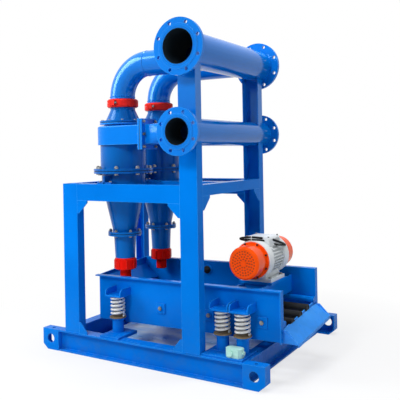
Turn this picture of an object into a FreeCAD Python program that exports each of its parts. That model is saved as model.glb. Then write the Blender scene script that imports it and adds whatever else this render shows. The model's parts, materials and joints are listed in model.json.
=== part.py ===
import FreeCAD, Part
import os
import re
import Sketcher

# Desander: two 250 mm hydrocyclones on a frame, over a vibrating screen box on six springs,
# all on one steel skid. Millimetres, +X along the long front side, +Y to the back, +Z up.
# The origin is on the ground, in the middle of the part's outline. Places are counted from the
# skid's front left corner, and from_corner() turns them into places in the frame.

doc = FreeCAD.newDocument("Desander")
sheet = doc.addObject("Spreadsheet::Sheet", "Sizes")

# Alias, size in millimetres (or a count), meaning
SIZE_LIST = [
    ("skid_len", 1690, "length of the skid"),
    ("skid_wid", 1260, "width of the skid"),
    ("rail_hgt", 142, "height of the rolled sections of the skid"),
    ("rail_wid", 80, "flange width of the rolled sections"),
    ("rail_web", 7, "web thickness of the rolled sections"),
    ("rail_flange", 10, "flange thickness of the rolled sections"),
    ("rail_set", 3, "rail face behind the face of the corner blocks"),
    ("end_rail_set", 128, "outer side of an end rail from the end of the skid"),
    ("block_len", 140, "corner block along the skid"),
    ("block_dep", 70, "corner block across the skid"),
    ("block_wall", 9, "plate thickness of a corner block"),
    ("block_cut_wid", 42, "width of the cut corner under a block"),
    ("block_cut_hgt", 35, "height of the cut corner under a block"),
    ("lift_hole_r", 31, "radius of the lifting hole"),
    ("lift_hole_hgt", 78, "height of the lifting hole"),
    ("top_hole_r", 13, "radius of the hole in the top of a block"),
    ("frame_dep", 930, "back face of the rear posts from the front of the skid"),
    ("post_wid", 124, "face width of a post"),
    ("post_dep", 66, "depth of a post"),
    ("post_wall", 7, "wall of the posts and beams"),
    ("left_post_x", 205, "left side of the front left post"),
    ("right_post_x", 1145, "left side of the right posts"),
    ("rear_left_x", 165, "left side of the rear left post"),
    ("rear_left_wid", 82, "face width of the rear left post"),
    ("frame_top", 1146, "top of the short frame"),
    ("beam_hgt", 112, "height of the front and rear beams"),
    ("beam_dep", 60, "depth of the front and rear beams"),
    ("side_beam_hgt", 68, "height of the side beams and the middle beam"),
    ("side_beam_wid", 60, "width of the side beams"),
    ("middle_beam_wid", 90, "width of the beam between the cyclones"),
    ("gusset_leg", 86, "leg of a corner plate of the frame"),
    ("gusset_tip", 14, "cut tip of a corner plate"),
    ("gusset_t", 8, "thickness of the corner plates"),
    ("foot_gusset_wid", 66, "foot plate of a post, along the rail"),
    ("foot_gusset_hgt", 76, "foot plate of a post, height"),
    ("pan_t", 3, "thickness of the drip pan"),
    ("pan_rim", 22, "height of the rim of the drip pan"),
    ("outlet_hgt", 1964, "axis height of the outlet header"),
    ("outlet_r", 109.5, "outer radius of the outlet header, DN200 pipe"),
    ("outlet_wall", 6, "wall of the outlet header"),
    ("outlet_y", -88, "near flange face of the outlet header"),
    ("outlet_past", 78, "outlet header past the rear posts"),
    ("outlet_flange_r", 170, "radius of the DN200 flanges"),
    ("outlet_flange_t", 24, "thickness of the DN200 flanges"),
    ("outlet_pcd", 295, "bolt circle of the DN200 flanges"),
    ("outlet_face_r", 134, "radius of the raised face of the DN200 flanges"),
    ("inlet_hgt", 1465, "axis height of the inlet manifold"),
    ("inlet_r", 84.15, "outer radius of the inlet manifold, DN150 pipe"),
    ("inlet_wall", 5, "wall of the inlet manifold"),
    ("inlet_y", -114, "near flange face of the inlet manifold"),
    ("inlet_past", 116, "inlet manifold past the rear posts"),
    ("inlet_flange_r", 142.5, "radius of the DN150 flanges"),
    ("inlet_flange_t", 22, "thickness of the DN150 flanges"),
    ("inlet_pcd", 240, "bolt circle of the DN150 flanges"),
    ("inlet_face_r", 106, "radius of the raised face of the DN150 flanges"),
    ("flange_hole_r", 11, "radius of the pipe flange holes"),
    ("flange_holes", 8, "holes in a pipe flange"),
    ("raised_face", 3, "height of the raised face"),
    ("cope_gap", 0.2, "gap between a coped end and the pipe it is welded to"),
    ("cyclone_x", 537, "axis of the cyclones from the left end"),
    ("cyclone_pitch", 434, "distance between the axes of the cyclones"),
    ("elbow_r", 220, "bend radius of an elbow"),
    ("elbow_pipe_r", 84.15, "outer radius of the elbows"),
    ("elbow_wall", 5, "wall of the elbows"),
    ("elbow_hgt", 1942, "axis height where an elbow runs level"),
    ("elbow_end", 1686, "lower end of an elbow"),
    ("weld_r", 2.5, "height of a weld bead over the pipe"),
    ("weld_wid", 9, "width of a weld bead"),
    ("coupling_r", 106, "outer radius of a pipe coupling"),
    ("coupling_hgt", 56, "height of a pipe coupling"),
    ("coupling_gap", 0.3, "gap between a coupling and the pipe in it"),
    ("ear_len", 22, "bolt ears of a coupling past its radius"),
    ("ear_wid", 50, "width over a pair of bolt ears"),
    ("ear_hgt", 34, "height of a bolt ear"),
    ("coupling_split", 5, "gap between the halves of a coupling"),
    ("neck_end", 1682, "upper end of the top cover neck"),
    ("neck_low", 1640, "where the neck starts to widen"),
    ("neck_foot_r", 118, "radius of the widened neck at the cover"),
    ("cover_hgt", 1566, "top of the cover flange"),
    ("cover_r", 158, "radius of the cover flange"),
    ("cover_t", 12, "thickness of the cover flange"),
    ("gasket_t", 4, "thickness of a flange gasket"),
    ("head_hgt", 126, "height of the feed head"),
    ("head_low", 1402, "underside of the feed head"),
    ("head_round", 10, "rounding of the feed head's upper edge"),
    ("rim_t", 11, "thickness of the rim under a cover"),
    ("rim_neck_r", 130, "radius of the neck under the rim"),
    ("scroll_set", 6, "distance of the scroll's centre from the axis"),
    ("duct_len", 292, "tangential duct of the feed head, from the axis"),
    ("duct_inner", 85, "inner wall of the duct from the axis"),
    ("duct_flange_hgt", 196, "height of the duct flange"),
    ("duct_flange_wid", 162, "width of the duct flange"),
    ("duct_flange_t", 15, "thickness of the duct flange"),
    ("transition_len", 106, "length of the square to round transition"),
    ("branch_r", 70, "outer radius of the branch pipes of the inlet manifold"),
    ("barrel_r", 157, "outer radius of the barrel"),
    ("cyclone_wall", 8, "wall of the cyclone parts"),
    ("joint_hgt", 1226, "middle of the large flange joint"),
    ("joint_r", 204, "radius of the large flanges"),
    ("joint_t", 14, "thickness of the large flanges"),
    ("body_r", 151, "outer radius of the cone section's straight part"),
    ("body_low", 1140, "where the cone starts"),
    ("cone_end_r", 79, "outer radius at the end of the cone"),
    ("low_joint_hgt", 800, "middle of the lower flange joint"),
    ("low_joint_r", 114, "radius of the lower flanges"),
    ("low_joint_t", 12, "thickness of the lower flanges"),
    ("apex_top_r", 75, "outer radius at the top of the apex cone"),
    ("apex_end_r", 68, "outer radius at the end of the apex cone"),
    ("apex_end", 634, "lower end of the apex cone"),
    ("nut_r", 77, "radius of the apex nut over its ribs"),
    ("nut_body_r", 72, "radius of the apex nut between its ribs"),
    ("nut_top", 628, "top of the apex nut"),
    ("nut_low", 554, "underside of the apex nut"),
    ("nut_ribs", 8, "ribs of an apex nut"),
    ("nozzle_r", 37.5, "outer radius of the apex nozzle"),
    ("nozzle_bore_r", 19, "bore radius of the apex nozzle"),
    ("nozzle_end", 488, "lower end of the apex nozzle"),
    ("finder_r", 62, "outer radius of a vortex finder"),
    ("finder_end", 1330, "lower end of a vortex finder"),
    ("finder_flange_t", 10, "thickness of a vortex finder's flange"),
    ("finder_gap", 1, "gap around a vortex finder's flange"),
    ("foot_wid", 118, "width of a cyclone foot"),
    ("foot_dep", 56, "depth of a cyclone foot plate"),
    ("foot_t", 10, "thickness of a cyclone foot plate"),
    ("foot_reach", 4, "gap between the feet of the two cyclones, halved"),
    ("foot_in", 35, "outer end of a cyclone foot from the frame's edge"),
    ("foot_rib_hgt", 50, "height of a cyclone foot's ribs"),
    ("box_x", 345, "left end of the screen box"),
    ("box_len", 1372, "length of the screen box"),
    ("box_y", 200, "front face of the screen box"),
    ("box_wid", 550, "width of the screen box"),
    ("box_low", 203, "underside of the screen box at its left end"),
    ("box_top", 508, "top of the front plate at its left end"),
    ("box_rise", 22, "rise of the screen box along its length"),
    ("rear_rise", 36, "rise of the deck and the lip across the box"),
    ("rear_under", 8, "top of the rear plate's left end under the motor caps"),
    ("box_wall", 8, "thickness of the side plates"),
    ("box_flange", 32, "width of the side plates' flanges"),
    ("end_wall_t", 8, "thickness of the feed end wall"),
    ("bar_hgt", 330, "axis height of the front screen bar"),
    ("bar_r", 19, "radius of the screen bars"),
    ("stringer_r", 27, "radius of the rubber covered stringers"),
    ("stringer_y", 352, "axis of the front stringer from the front"),
    ("stringer_pitch", 123, "distance between the stringers"),
    ("stringer_hgt", 306, "axis height of the front stringer"),
    ("stringer_step", 15, "rise from one stringer to the next"),
    ("cross_r", 24, "radius of the cross tubes"),
    ("saddle_hgt", 6, "height of the lowest saddle over its cross tube"),
    ("saddle_len", 30, "length of a saddle along X"),
    ("saddle_wid", 36, "width of a saddle"),
    ("cross_x", 497, "axis of the first cross tube from the left end"),
    ("cross_end", 131, "axis of the last cross tube from the end of the box"),
    ("cross_past_spring", 126, "third deck cross tube before the middle spring"),
    ("seat_gap", 0.3, "gap under a part that rests on a round part"),
    ("plate_side", 66, "side of a square tension plate"),
    ("plate_t", 8, "thickness of a tension plate"),
    ("lip_run", 96, "discharge lip along X"),
    ("lip_drop", 76, "discharge lip down"),
    ("lip_t", 6, "thickness of the discharge lip"),
    ("lip_edge", 26, "width of the folded edges of the discharge lip"),
    ("cup_set", 16, "cup plate under the stringers, from the end of the box"),
    ("baffle_run", 110, "feed baffle along X"),
    ("baffle_drop", 84, "feed baffle down"),
    ("port_r", 36, "radius of the flanged port in the rear side plate"),
    ("port_x", 902, "axis of the flanged port from the left end"),
    ("port_hgt", 492, "axis height of the flanged port"),
    ("motor_x", 1465, "axis of the motor from the left end"),
    ("motor_y", 202, "near face of the front motor cap from the front"),
    ("motor_hgt", 667, "axis height of the motor"),
    ("cap_len", 124, "length of a motor cap"),
    ("cap_r", 101, "radius of a motor cap"),
    ("cap_rim_r", 115, "radius of a motor cap's rim"),
    ("cap_wall", 3, "wall of a motor cap"),
    ("case_len", 298, "length of the motor case"),
    ("case_r", 98, "radius of the motor case"),
    ("case_end_r", 120, "radius of the motor case's end rings"),
    ("case_ring", 66, "length of the motor case's end rings"),
    ("fin_r", 113, "radius over the cooling fins"),
    ("fin_t", 5, "thickness of a cooling fin"),
    ("fin_pitch", 19, "distance between the cooling fins"),
    ("fin_rows", 4, "cooling fins above the axis and below it"),
    ("motor_foot_wid", 208, "width over the motor feet"),
    ("motor_foot_t", 22, "thickness of the motor feet"),
    ("motor_foot_len", 210, "length of the motor feet"),
    ("motor_foot_edge", 34, "width of a motor foot beside its leg"),
    ("foot_bolt_in", 24, "bolts of the motor feet from their ends"),
    ("motor_up", 139, "motor axis above its base plate"),
    ("base_t", 16, "thickness of the motor base plate"),
    ("base_wid", 224, "motor base plate along X"),
    ("base_front", 360, "front of the motor base plate from the front"),
    ("base_dep", 246, "motor base plate along Y"),
    ("bridge_low", 402, "underside of the motor bridge's cross plates"),
    ("terminal_wid", 170, "terminal box along X"),
    ("terminal_set", 3, "gap between the terminal box and the motor's end rings"),
    ("terminal_hgt", 56, "height of the terminal box"),
    ("shaft_r", 22, "radius of the motor shaft"),
    ("weight_r", 84, "radius of the eccentric weights"),
    ("weight_t", 34, "thickness of an eccentric weight"),
    ("running_gap", 0.05, "running clearance of the shaft in its bearings"),
    ("bolt_r", 8, "radius of the large bolts"),
    ("small_bolt_r", 6, "radius of the small bolts"),
    ("stud_r", 5, "radius of the cover screws and the coupling bolts"),
    ("bolt_clear", 0.5, "clearance of a bolt in its hole"),
    ("hex_ratio", 1.75, "corner radius of a hexagon over the bolt's radius"),
    ("head_ratio", 1.3, "height of a head over the bolt's radius"),
    ("nut_ratio", 1.7, "height of a nut over the bolt's radius"),
    ("bolt_end", 5, "length of a bolt past its nut"),
    ("joint_circle_r", 183, "bolt circle radius of the large flanges"),
    ("joint_bolts", 8, "bolts of a large flange joint"),
    ("low_circle_r", 98, "bolt circle radius of the lower flanges"),
    ("low_joint_bolts", 6, "bolts of a lower flange joint"),
    ("cover_circle_r", 144, "screw circle radius of a top cover"),
    ("cover_screws", 10, "screws of a top cover"),
    ("mouth_r", 118, "radius of the opening under a top cover"),
    ("duct_bolt_y", 63, "bolts of a duct flange from its middle"),
    ("duct_bolt_pitch", 80, "bolt pitch up a duct flange"),
    ("foot_bolt_x", 42, "screws of a cyclone foot from the axis"),
    ("foot_edge", 14, "screws of a cyclone foot from the edge of its plate"),
    ("spring_y", 140, "axis of the front springs from the front"),
    ("spring_x_1", 551, "axis of the left spring"),
    ("spring_x_2", 1349, "axis of the middle spring"),
    ("spring_x_3", 1484, "axis of the right spring"),
    ("spring_low", 256, "underside of a spring"),
    ("spring_hgt", 137, "height of a spring"),
    ("spring_r", 42, "mean radius of a spring"),
    ("wire_r", 7, "radius of the spring wire"),
    ("spring_turns", 5, "turns of a spring"),
    ("pad_r", 55, "radius of a spring pad"),
    ("pad_t", 6, "thickness of a spring pad"),
    ("pedestal_r", 38, "radius of a pedestal"),
    ("pedestal_cap_r", 50, "radius of a pedestal's top plate"),
    ("pedestal_cap_t", 8, "thickness of a pedestal's top plate"),
    ("seat_t", 12, "thickness of a spring seat plate"),
    ("seat_in", 215, "inner end of a spring seat from the front"),
    ("seat_out", 12, "outer end of a spring seat from the front"),
    ("stub_hgt", 58, "depth of the channel under a spring seat"),
    ("shelf_wid", 128, "width of a spring bracket's shelf"),
    ("shelf_t", 10, "thickness of a spring bracket's shelf"),
    ("shelf_gusset_hgt", 42, "height of a spring bracket's side plates"),
    ("shelf_tip", 10, "height of a spring bracket's side plates at their tip"),
    ("slot_wid", 44, "length of the slot in a spring bracket's shelf"),
    ("slot_dep", 9, "width of the slot in a spring bracket's shelf"),
    ("jbox_x", 1424, "left side of the junction box"),
    ("jbox_y", 22, "front of the junction box"),
    ("jbox_wid", 104, "width of the junction box"),
    ("jbox_dep", 62, "depth of the junction box"),
    ("jbox_hgt", 52, "height of the junction box"),
    ("jbox_cut", 16, "cut corners of the junction box"),
    ("boss_r", 18, "radius of the boss on the junction box"),
    ("gland_r", 12, "radius of the cable gland"),
    ("gland_len", 20, "length of the boss and of the gland"),
    ("cable_r", 7, "radius of the motor cables"),
]
SIZES = {}
for row, (alias, size, meaning) in enumerate(SIZE_LIST, 1):
    sheet.set(f"A{row}", alias)
    sheet.set(f"B{row}", str(size))
    sheet.setAlias(f"B{row}", alias)
    sheet.set(f"C{row}", meaning)
    SIZES[alias] = size
doc.recompute()

WORD = re.compile(r"[a-z]\w*")


def full(text):
    """A formula in the sizes' names, as FreeCAD reads it."""
    return WORD.sub(lambda m: "Sizes." + m.group() if m.group() in SIZES else m.group(), str(text))


def value(text):
    """The present value of a formula."""
    result = sheet.evalExpression(full(text))
    return float(getattr(result, "Value", result))


def bind(thing, field, text):
    thing.setExpression(field, full(text))


MIDDLE_OF_X = "(box_x + box_len + lip_run)/2"
MIDDLE_OF_Y = "(skid_wid + inlet_y)/2"
OUTLET_LEN = "(frame_dep + outlet_past - outlet_y)"
INLET_LEN = "(frame_dep + inlet_past - inlet_y)"
PITCH = "cyclone_pitch"
FIRST_Y = "(frame_dep - cyclone_pitch)/2"
FIRST_PLACE = FIRST_Y + " + 0*" + PITCH


def from_corner(x, y, z):
    """Place counted from the skid's front left corner, as formulas in the frame."""
    return (f"({x}) - {MIDDLE_OF_X}", f"({y}) - {MIDDLE_OF_Y}", f"{z}")


def mirrored(y):
    """The same distance on the other side of the screen box's middle."""
    return f"2*box_y + box_wid - ({y})"


def place(thing, at, turn=None):
    """Puts a thing at three formulas, turned by a list of (axis, degrees)."""
    rotation = FreeCAD.Rotation()
    for axis, angle in turn or []:
        rotation = FreeCAD.Rotation(FreeCAD.Vector(*axis), angle).multiply(rotation)
    thing.Placement = FreeCAD.Placement(FreeCAD.Vector(0, 0, 0), rotation)
    for letter, text in zip("xyz", at):
        bind(thing, f"Placement.Base.{letter}", text)
    return thing


X_AXIS = (1, 0, 0)
Y_AXIS = (0, 1, 0)
Z_AXIS = (0, 0, 1)
ORIGIN = ("0", "0", "0")
ALONG_Y = [(Z_AXIS, 90)]
AXIS_TO_Y = [(X_AXIS, -90)]


def new_body():
    return doc.addObject("PartDesign::Body", "Body")


def own_plane(body, role):
    return next(item for item in body.Origin.OriginFeatures if item.Role == role)


def new_sketch(body, role):
    sketch = body.newObject("Sketcher::SketchObject", "Profile")
    sketch.AttachmentSupport = [(own_plane(body, role), "")]
    sketch.MapMode = "FlatFace"
    return sketch


def outline(body, role, corners):
    """Closed outline through corners (x, y). A corner with a third and fourth formula starts
    an arc about that centre, and the fifth item is 1 for counter-clockwise or -1."""
    sketch = new_sketch(body, role)
    points = [FreeCAD.Vector(value(c[0]), value(c[1]), 0) for c in corners]
    count = len(points)
    held = []
    for i, corner in enumerate(corners):
        start = points[i]
        end = points[(i + 1) % count]
        if len(corner) == 2:
            sketch.addGeometry(Part.LineSegment(start, end), False)
            held.append((i, 1, 2))
            continue
        centre = FreeCAD.Vector(value(corner[2]), value(corner[3]), 0)
        first, last = (start, end) if corner[4] > 0 else (end, start)
        circle = Part.Circle(centre, FreeCAD.Vector(0, 0, 1), (start - centre).Length)
        arc = Part.ArcOfCircle(circle, circle.parameter(first), circle.parameter(last))
        sketch.addGeometry(arc, False)
        held.append((i, 1, 2) if corner[4] > 0 else (i, 2, 1))
    rules = []
    for i in range(count):
        after = held[(i + 1) % count]
        rules.append(Sketcher.Constraint("Coincident", i, held[i][2], after[0], after[1]))
    formulas = []
    for i, corner in enumerate(corners):
        rules.append(Sketcher.Constraint("DistanceX", -1, 1, i, held[i][1], points[i].x))
        formulas.append((len(rules) - 1, corner[0]))
        rules.append(Sketcher.Constraint("DistanceY", -1, 1, i, held[i][1], points[i].y))
        formulas.append((len(rules) - 1, corner[1]))
        if len(corner) > 2:
            chord = points[(i + 1) % count] - points[i]
            across = abs(chord.x) > abs(chord.y)
            kind = "DistanceY" if across else "DistanceX"
            text = corner[3] if across else corner[2]
            rules.append(Sketcher.Constraint(kind, -1, 1, i, 3, value(text)))
            formulas.append((len(rules) - 1, text))
    sketch.addConstraint(rules)
    for number, text in formulas:
        sketch.setExpression(f"Constraints[{number}]", full(text))
    return sketch


def circles(body, role, rings):
    """Sketch of circles (x, y, radius)."""
    sketch = new_sketch(body, role)
    for i, (x, y, radius) in enumerate(rings):
        centre = FreeCAD.Vector(value(x), value(y), 0)
        sketch.addGeometry(Part.Circle(centre, FreeCAD.Vector(0, 0, 1), value(radius)), False)
        sketch.addConstraint(Sketcher.Constraint("DistanceX", -1, 1, i, 3, centre.x))
        sketch.setExpression(f"Constraints[{3 * i}]", full(x))
        sketch.addConstraint(Sketcher.Constraint("DistanceY", -1, 1, i, 3, centre.y))
        sketch.setExpression(f"Constraints[{3 * i + 1}]", full(y))
        sketch.addConstraint(Sketcher.Constraint("Radius", i, value(radius)))
        sketch.setExpression(f"Constraints[{3 * i + 2}]", full(radius))
    return sketch


def pad(body, sketch, length, reverse=False, middle=False):
    feature = body.newObject("PartDesign::Pad", "Pad")
    feature.Profile = sketch
    feature.Reversed = reverse
    feature.Midplane = middle
    bind(feature, "Length", length)
    return feature


def round_edges(body, feature, height, radius):
    """Rounds the edges of a pad that lie at the given height."""
    doc.recompute()
    names = []
    for number, edge in enumerate(feature.Shape.Edges, 1):
        if all(abs(vertex.Point.z - value(height)) < 0.001 for vertex in edge.Vertexes):
            names.append(f"Edge{number}")
    fillet = body.newObject("PartDesign::Fillet", "Fillet")
    fillet.Base = (feature, names)
    bind(fillet, "Radius", radius)
    body.Tip = fillet
    return fillet


def pocket(body, sketch, length, reverse=False):
    """Cuts a sketch out of the body, and checks that it took material away."""
    doc.recompute()
    before = body.Shape.Volume
    feature = body.newObject("PartDesign::Pocket", "Pocket")
    feature.Profile = sketch
    feature.Reversed = reverse
    bind(feature, "Length", length)
    doc.recompute()
    if body.Shape.Volume >= before:
        raise ValueError(body.Label + ": a pocket took nothing away")
    return feature


def prism(corners, length, at, role="YZ_Plane", turn=None, reverse=False, middle=False):
    """One outline, drawn out along the normal of its plane."""
    body = new_body()
    pad(body, outline(body, role, corners), length, reverse, middle)
    return place(body, at, turn)


def lathe(corners, at, turn=None):
    """An outline in X and Z turned about Z."""
    body = new_body()
    feature = body.newObject("PartDesign::Revolution", "Revolution")
    sketch = outline(body, "XZ_Plane", corners)
    feature.Profile = sketch
    feature.ReferenceAxis = (sketch, ["V_Axis"])
    feature.Angle = 360
    body.Tip = feature
    return place(body, at, turn)


def ring_of_holes(body, face_z, depth, circle, radius, count):
    """A hole and its polar pattern about the body's Z axis."""
    sketch = circles(body, "XY_Plane", [(f"{circle}*cos(180/{count})", f"{circle}*sin(180/{count})", radius)])
    bind(sketch, "AttachmentOffset.Base.z", face_z)
    hole = pocket(body, sketch, depth)
    pattern = body.newObject("PartDesign::PolarPattern", "Pattern")
    pattern.Originals = [hole]
    pattern.Axis = (own_plane(body, "Z_Axis"), [""])
    pattern.Angle = 360
    bind(pattern, "Occurrences", count)
    body.Tip = pattern
    return pattern


def box(x, y, z, length, width, height):
    solid = doc.addObject("Part::Box", "Box")
    bind(solid, "Length", length)
    bind(solid, "Width", width)
    bind(solid, "Height", height)
    return place(solid, (x, y, z))


def rod(radius, length, at, turn=None):
    solid = doc.addObject("Part::Cylinder", "Rod")
    bind(solid, "Radius", radius)
    bind(solid, "Height", length)
    return place(solid, at, turn)


def hexagon(radius, tall, low):
    solid = doc.addObject("Part::Prism", "Hexagon")
    solid.Polygon = 6
    bind(solid, "Circumradius", f"hex_ratio*{radius}")
    bind(solid, "Height", tall)
    return place(solid, ("0", "0", low))


def bolt(radius, grip, at, turn=None):
    """Hexagon bolt and nut along their own Z axis: the head is under 0, the nut over the grip."""
    head = hexagon(radius, f"head_ratio*{radius}", f"-head_ratio*{radius}")
    nut = hexagon(radius, f"nut_ratio*{radius}", grip)
    shank = rod(radius, f"{grip} + nut_ratio*{radius} + bolt_end", ORIGIN)
    return place(fuse([head, shank, nut]), at, turn)


def screw(radius, depth, at, turn=None):
    """Hexagon screw along its own Z axis: the head stands on 0 and the shank goes down."""
    head = hexagon(radius, f"head_ratio*{radius}", "0")
    shank = rod(radius, depth, ("0", "0", f"-({depth})"))
    return place(fuse([head, shank]), at, turn)


def around(y, circle, count):
    """Places of a polar pattern about a cyclone's axis, in step with ring_of_holes."""
    for number in range(int(value(count))):
        angle = f"(360*{number} + 180)/{count}"
        yield f"cyclone_x + {circle}*cos({angle})", f"{y} + {circle}*sin({angle})"


def cut(base, tool):
    result = doc.addObject("Part::Cut", "Cut")
    result.Base = base
    result.Tool = tool
    return result


def fuse(pieces):
    result = doc.addObject("Part::MultiFuse", "Fuse")
    result.Shapes = pieces
    return result


def group(pieces):
    """Several separate solids that share one node."""
    result = doc.addObject("Part::Compound", "Group")
    result.Links = pieces
    return result


NODES = {}


def node(name, thing):
    thing.Label = name
    NODES[name] = thing
    return thing


# Skid

def i_section(set_back="0"):
    """Corners of a rolled I section, flange side down, in Y and Z."""
    inner = f"{set_back} + rail_wid/2 - rail_web/2"
    outer = f"{set_back} + rail_wid/2 + rail_web/2"
    far = f"{set_back} + rail_wid"
    upper = "rail_hgt - rail_flange"
    return [
        (set_back, "0"), (far, "0"), (far, "rail_flange"), (outer, "rail_flange"),
        (outer, upper), (far, upper), (far, "rail_hgt"), (set_back, "rail_hgt"),
        (set_back, upper), (inner, upper), (inner, "rail_flange"), (set_back, "rail_flange"),
    ]


RAIL_START = "rail_set + rail_wid"
INNER_RAIL_Y = "frame_dep - rail_wid + rail_set"


def corner_block(side, at, turn=None):
    """Welded plate block, open to the skid's inside, with a lifting hole and a cut corner."""
    body = new_body()
    profile = outline(body, "XZ_Plane", [
        ("0", "block_cut_hgt"), (f"{side}*block_cut_wid", "0"), (f"{side}*block_len", "0"),
        (f"{side}*block_len", "rail_hgt"), ("0", "rail_hgt"),
    ])
    pad(body, profile, "block_dep", reverse=True)
    hollow = outline(body, "XZ_Plane", [
        (f"{side}*block_wall", "block_cut_hgt + block_wall/2"),
        (f"{side}*(block_cut_wid + block_wall/2)", "block_wall"),
        (f"{side}*(block_len - block_wall)", "block_wall"),
        (f"{side}*(block_len - block_wall)", "rail_hgt - block_wall"),
        (f"{side}*block_wall", "rail_hgt - block_wall"),
    ])
    bind(hollow, "AttachmentOffset.Base.z", "-block_wall")
    pocket(body, hollow, "block_dep")
    eye = circles(body, "XZ_Plane", [(f"{side}*block_len/2", "lift_hole_hgt", "lift_hole_r")])
    pocket(body, eye, "2*block_wall")
    top = circles(body, "XY_Plane", [(f"{side}*block_len/2", "block_dep/2", "top_hole_r")])
    bind(top, "AttachmentOffset.Base.z", "rail_hgt")
    pocket(body, top, "2*block_wall")
    return place(body, at, turn)


def build_skid():
    rail_len = "skid_len - 2*block_len"
    node("front_rail", prism(i_section(), rail_len, from_corner("block_len", "rail_set", "0")))
    rear_y = "skid_wid - rail_set - rail_wid"
    node("rear_rail", prism(i_section(), rail_len, from_corner("block_len", rear_y, "0")))
    cross_len = f"skid_wid - 2*({RAIL_START})"
    left_x = "end_rail_set + rail_wid"
    node("left_end_rail", prism(i_section(), cross_len, from_corner(left_x, RAIL_START, "0"), turn=ALONG_Y))
    right_x = "skid_len - end_rail_set"
    node("right_end_rail", prism(i_section(), cross_len, from_corner(right_x, RAIL_START, "0"), turn=ALONG_Y))
    inner_len = "skid_len - 2*(end_rail_set + rail_wid)"
    node("inner_rail", prism(i_section(), inner_len, from_corner(left_x, INNER_RAIL_Y, "0")))
    half_turn = [(Z_AXIS, 180)]
    node("corner_blocks_front", group([
        corner_block("1", from_corner("0", "0", "0")), corner_block("-1", from_corner("skid_len", "0", "0")),
    ]))
    node("corner_blocks_rear", group([
        corner_block("1", from_corner("skid_len", "skid_wid", "0"), half_turn),
        corner_block("-1", from_corner("0", "skid_wid", "0"), half_turn),
    ]))
    build_pan()


def build_pan():
    """Folded tray lying on the lower flanges of the front rail and the inner rail."""
    start = "rail_set + rail_wid/2 + rail_web/2 + 1"
    end = f"{INNER_RAIL_Y} + rail_wid/2 - rail_web/2 - 1"
    left = "end_rail_set + rail_wid + 20"
    length = "skid_len - 2*end_rail_set - 2*rail_wid - 40"
    tray = box(*from_corner(left, start, "rail_flange"), length, f"{end} - ({start})", "pan_rim")
    room = box(
        *from_corner(f"{left} + pan_t", f"{start} + pan_t", "rail_flange + pan_t"),
        f"{length} - 2*pan_t", f"{end} - ({start}) - 2*pan_t", "pan_rim",
    )
    node("drip_pan", cut(tray, room))


# Frame

def channel(wide, deep, wall):
    """Corners of a channel with its web on the X axis and its flanges towards +Y."""
    return [
        ("0", "0"), (wide, "0"), (wide, deep), (f"{wide} - {wall}", deep),
        (f"{wide} - {wall}", wall), (wall, wall), (wall, deep), ("0", deep),
    ]


def post(x, wide, length, at_rear, low="rail_hgt"):
    """Upright channel: front posts show their web to the front, rear posts to the back."""
    corners = channel(wide, "post_dep", "post_wall")
    if at_rear:
        corner = from_corner(f"{x} + {wide}", "frame_dep", low)
        return prism(corners, length, corner, role="XY_Plane", turn=[(Z_AXIS, 180)])
    return prism(corners, length, from_corner(x, "rail_set", low), role="XY_Plane")


def level_beam(x, y, length, tall, deep, turn):
    """Level channel whose top is the top of the frame, drawn out along X before its turn."""
    corners = [
        ("0", "0"), (deep, "0"), (deep, "post_wall"), ("post_wall", "post_wall"),
        ("post_wall", f"{tall} - post_wall"), (deep, f"{tall} - post_wall"), (deep, tall), ("0", tall),
    ]
    return prism(corners, length, from_corner(x, y, f"frame_top - {tall}"), turn=turn)


def corner_plate(at, turn, wide="gusset_leg", tall="gusset_leg"):
    """Three cornered plate with cut tips, in X and Z, with its right angle at the upper left."""
    corners = [
        ("0", "0"), (wide, "0"), (wide, "-gusset_tip"),
        ("gusset_tip", f"-({tall})"), ("0", f"-({tall})"),
    ]
    return prism(corners, "gusset_t", at, role="XZ_Plane", turn=turn, reverse=True)


def build_frame():
    short_len = "frame_top - rail_hgt"
    node("post_front_left", post("left_post_x", "post_wid", short_len, False))
    node("post_rear_left", post("rear_left_x", "rear_left_wid", short_len, True))
    pipe_x = "right_post_x + post_wid/2"
    lower_len = "inlet_hgt - rail_hgt"
    upper_len = "outlet_hgt - inlet_hgt"
    header = pipe_tool("outlet_r + cope_gap", "outlet_y", OUTLET_LEN, "outlet_hgt", pipe_x)
    manifold = pipe_tool("inlet_r + cope_gap", "inlet_y", INLET_LEN, "inlet_hgt", pipe_x)
    front = post("right_post_x", "post_wid", lower_len, False)
    rear = post("right_post_x", "post_wid", lower_len, True)
    node("post_front_right", cut(front, manifold))
    node("post_rear_right", cut(rear, manifold))
    stubs = group([
        post("right_post_x", "post_wid", upper_len, False, "inlet_hgt"),
        post("right_post_x", "post_wid", upper_len, True, "inlet_hgt"),
    ])
    node("header_stubs", cut(cut(stubs, manifold), header))
    left_end = "left_post_x + post_wid"
    front_len = f"right_post_x - ({left_end})"
    node("front_beam", level_beam(left_end, "rail_set", front_len, "beam_hgt", "beam_dep", None))
    rear_left_end = "rear_left_x + rear_left_wid"
    rear_len = f"right_post_x - ({rear_left_end})"
    rear_beam = level_beam("right_post_x", "frame_dep", rear_len, "beam_hgt", "beam_dep", [(Z_AXIS, 180)])
    node("rear_beam", rear_beam)
    side_start = "rail_set + post_dep"
    side_len = f"frame_dep - post_dep - ({side_start})"
    side_end = f"({side_start}) + ({side_len})"
    right_x = "right_post_x + post_wid"
    left = level_beam("left_post_x", side_end, side_len, "side_beam_hgt", "side_beam_wid", [(Z_AXIS, -90)])
    right = level_beam(right_x, side_start, side_len, "side_beam_hgt", "side_beam_wid", ALONG_Y)
    node("side_beams", group([left, right]))
    build_middle_beam()
    build_corner_plates(left_end, right_x, side_start)


def pipe_tool(radius, y, length, tall, x):
    return rod(radius, length, from_corner(x, y, tall), AXIS_TO_Y)


MIDDLE_Y = "frame_dep/2"


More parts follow.
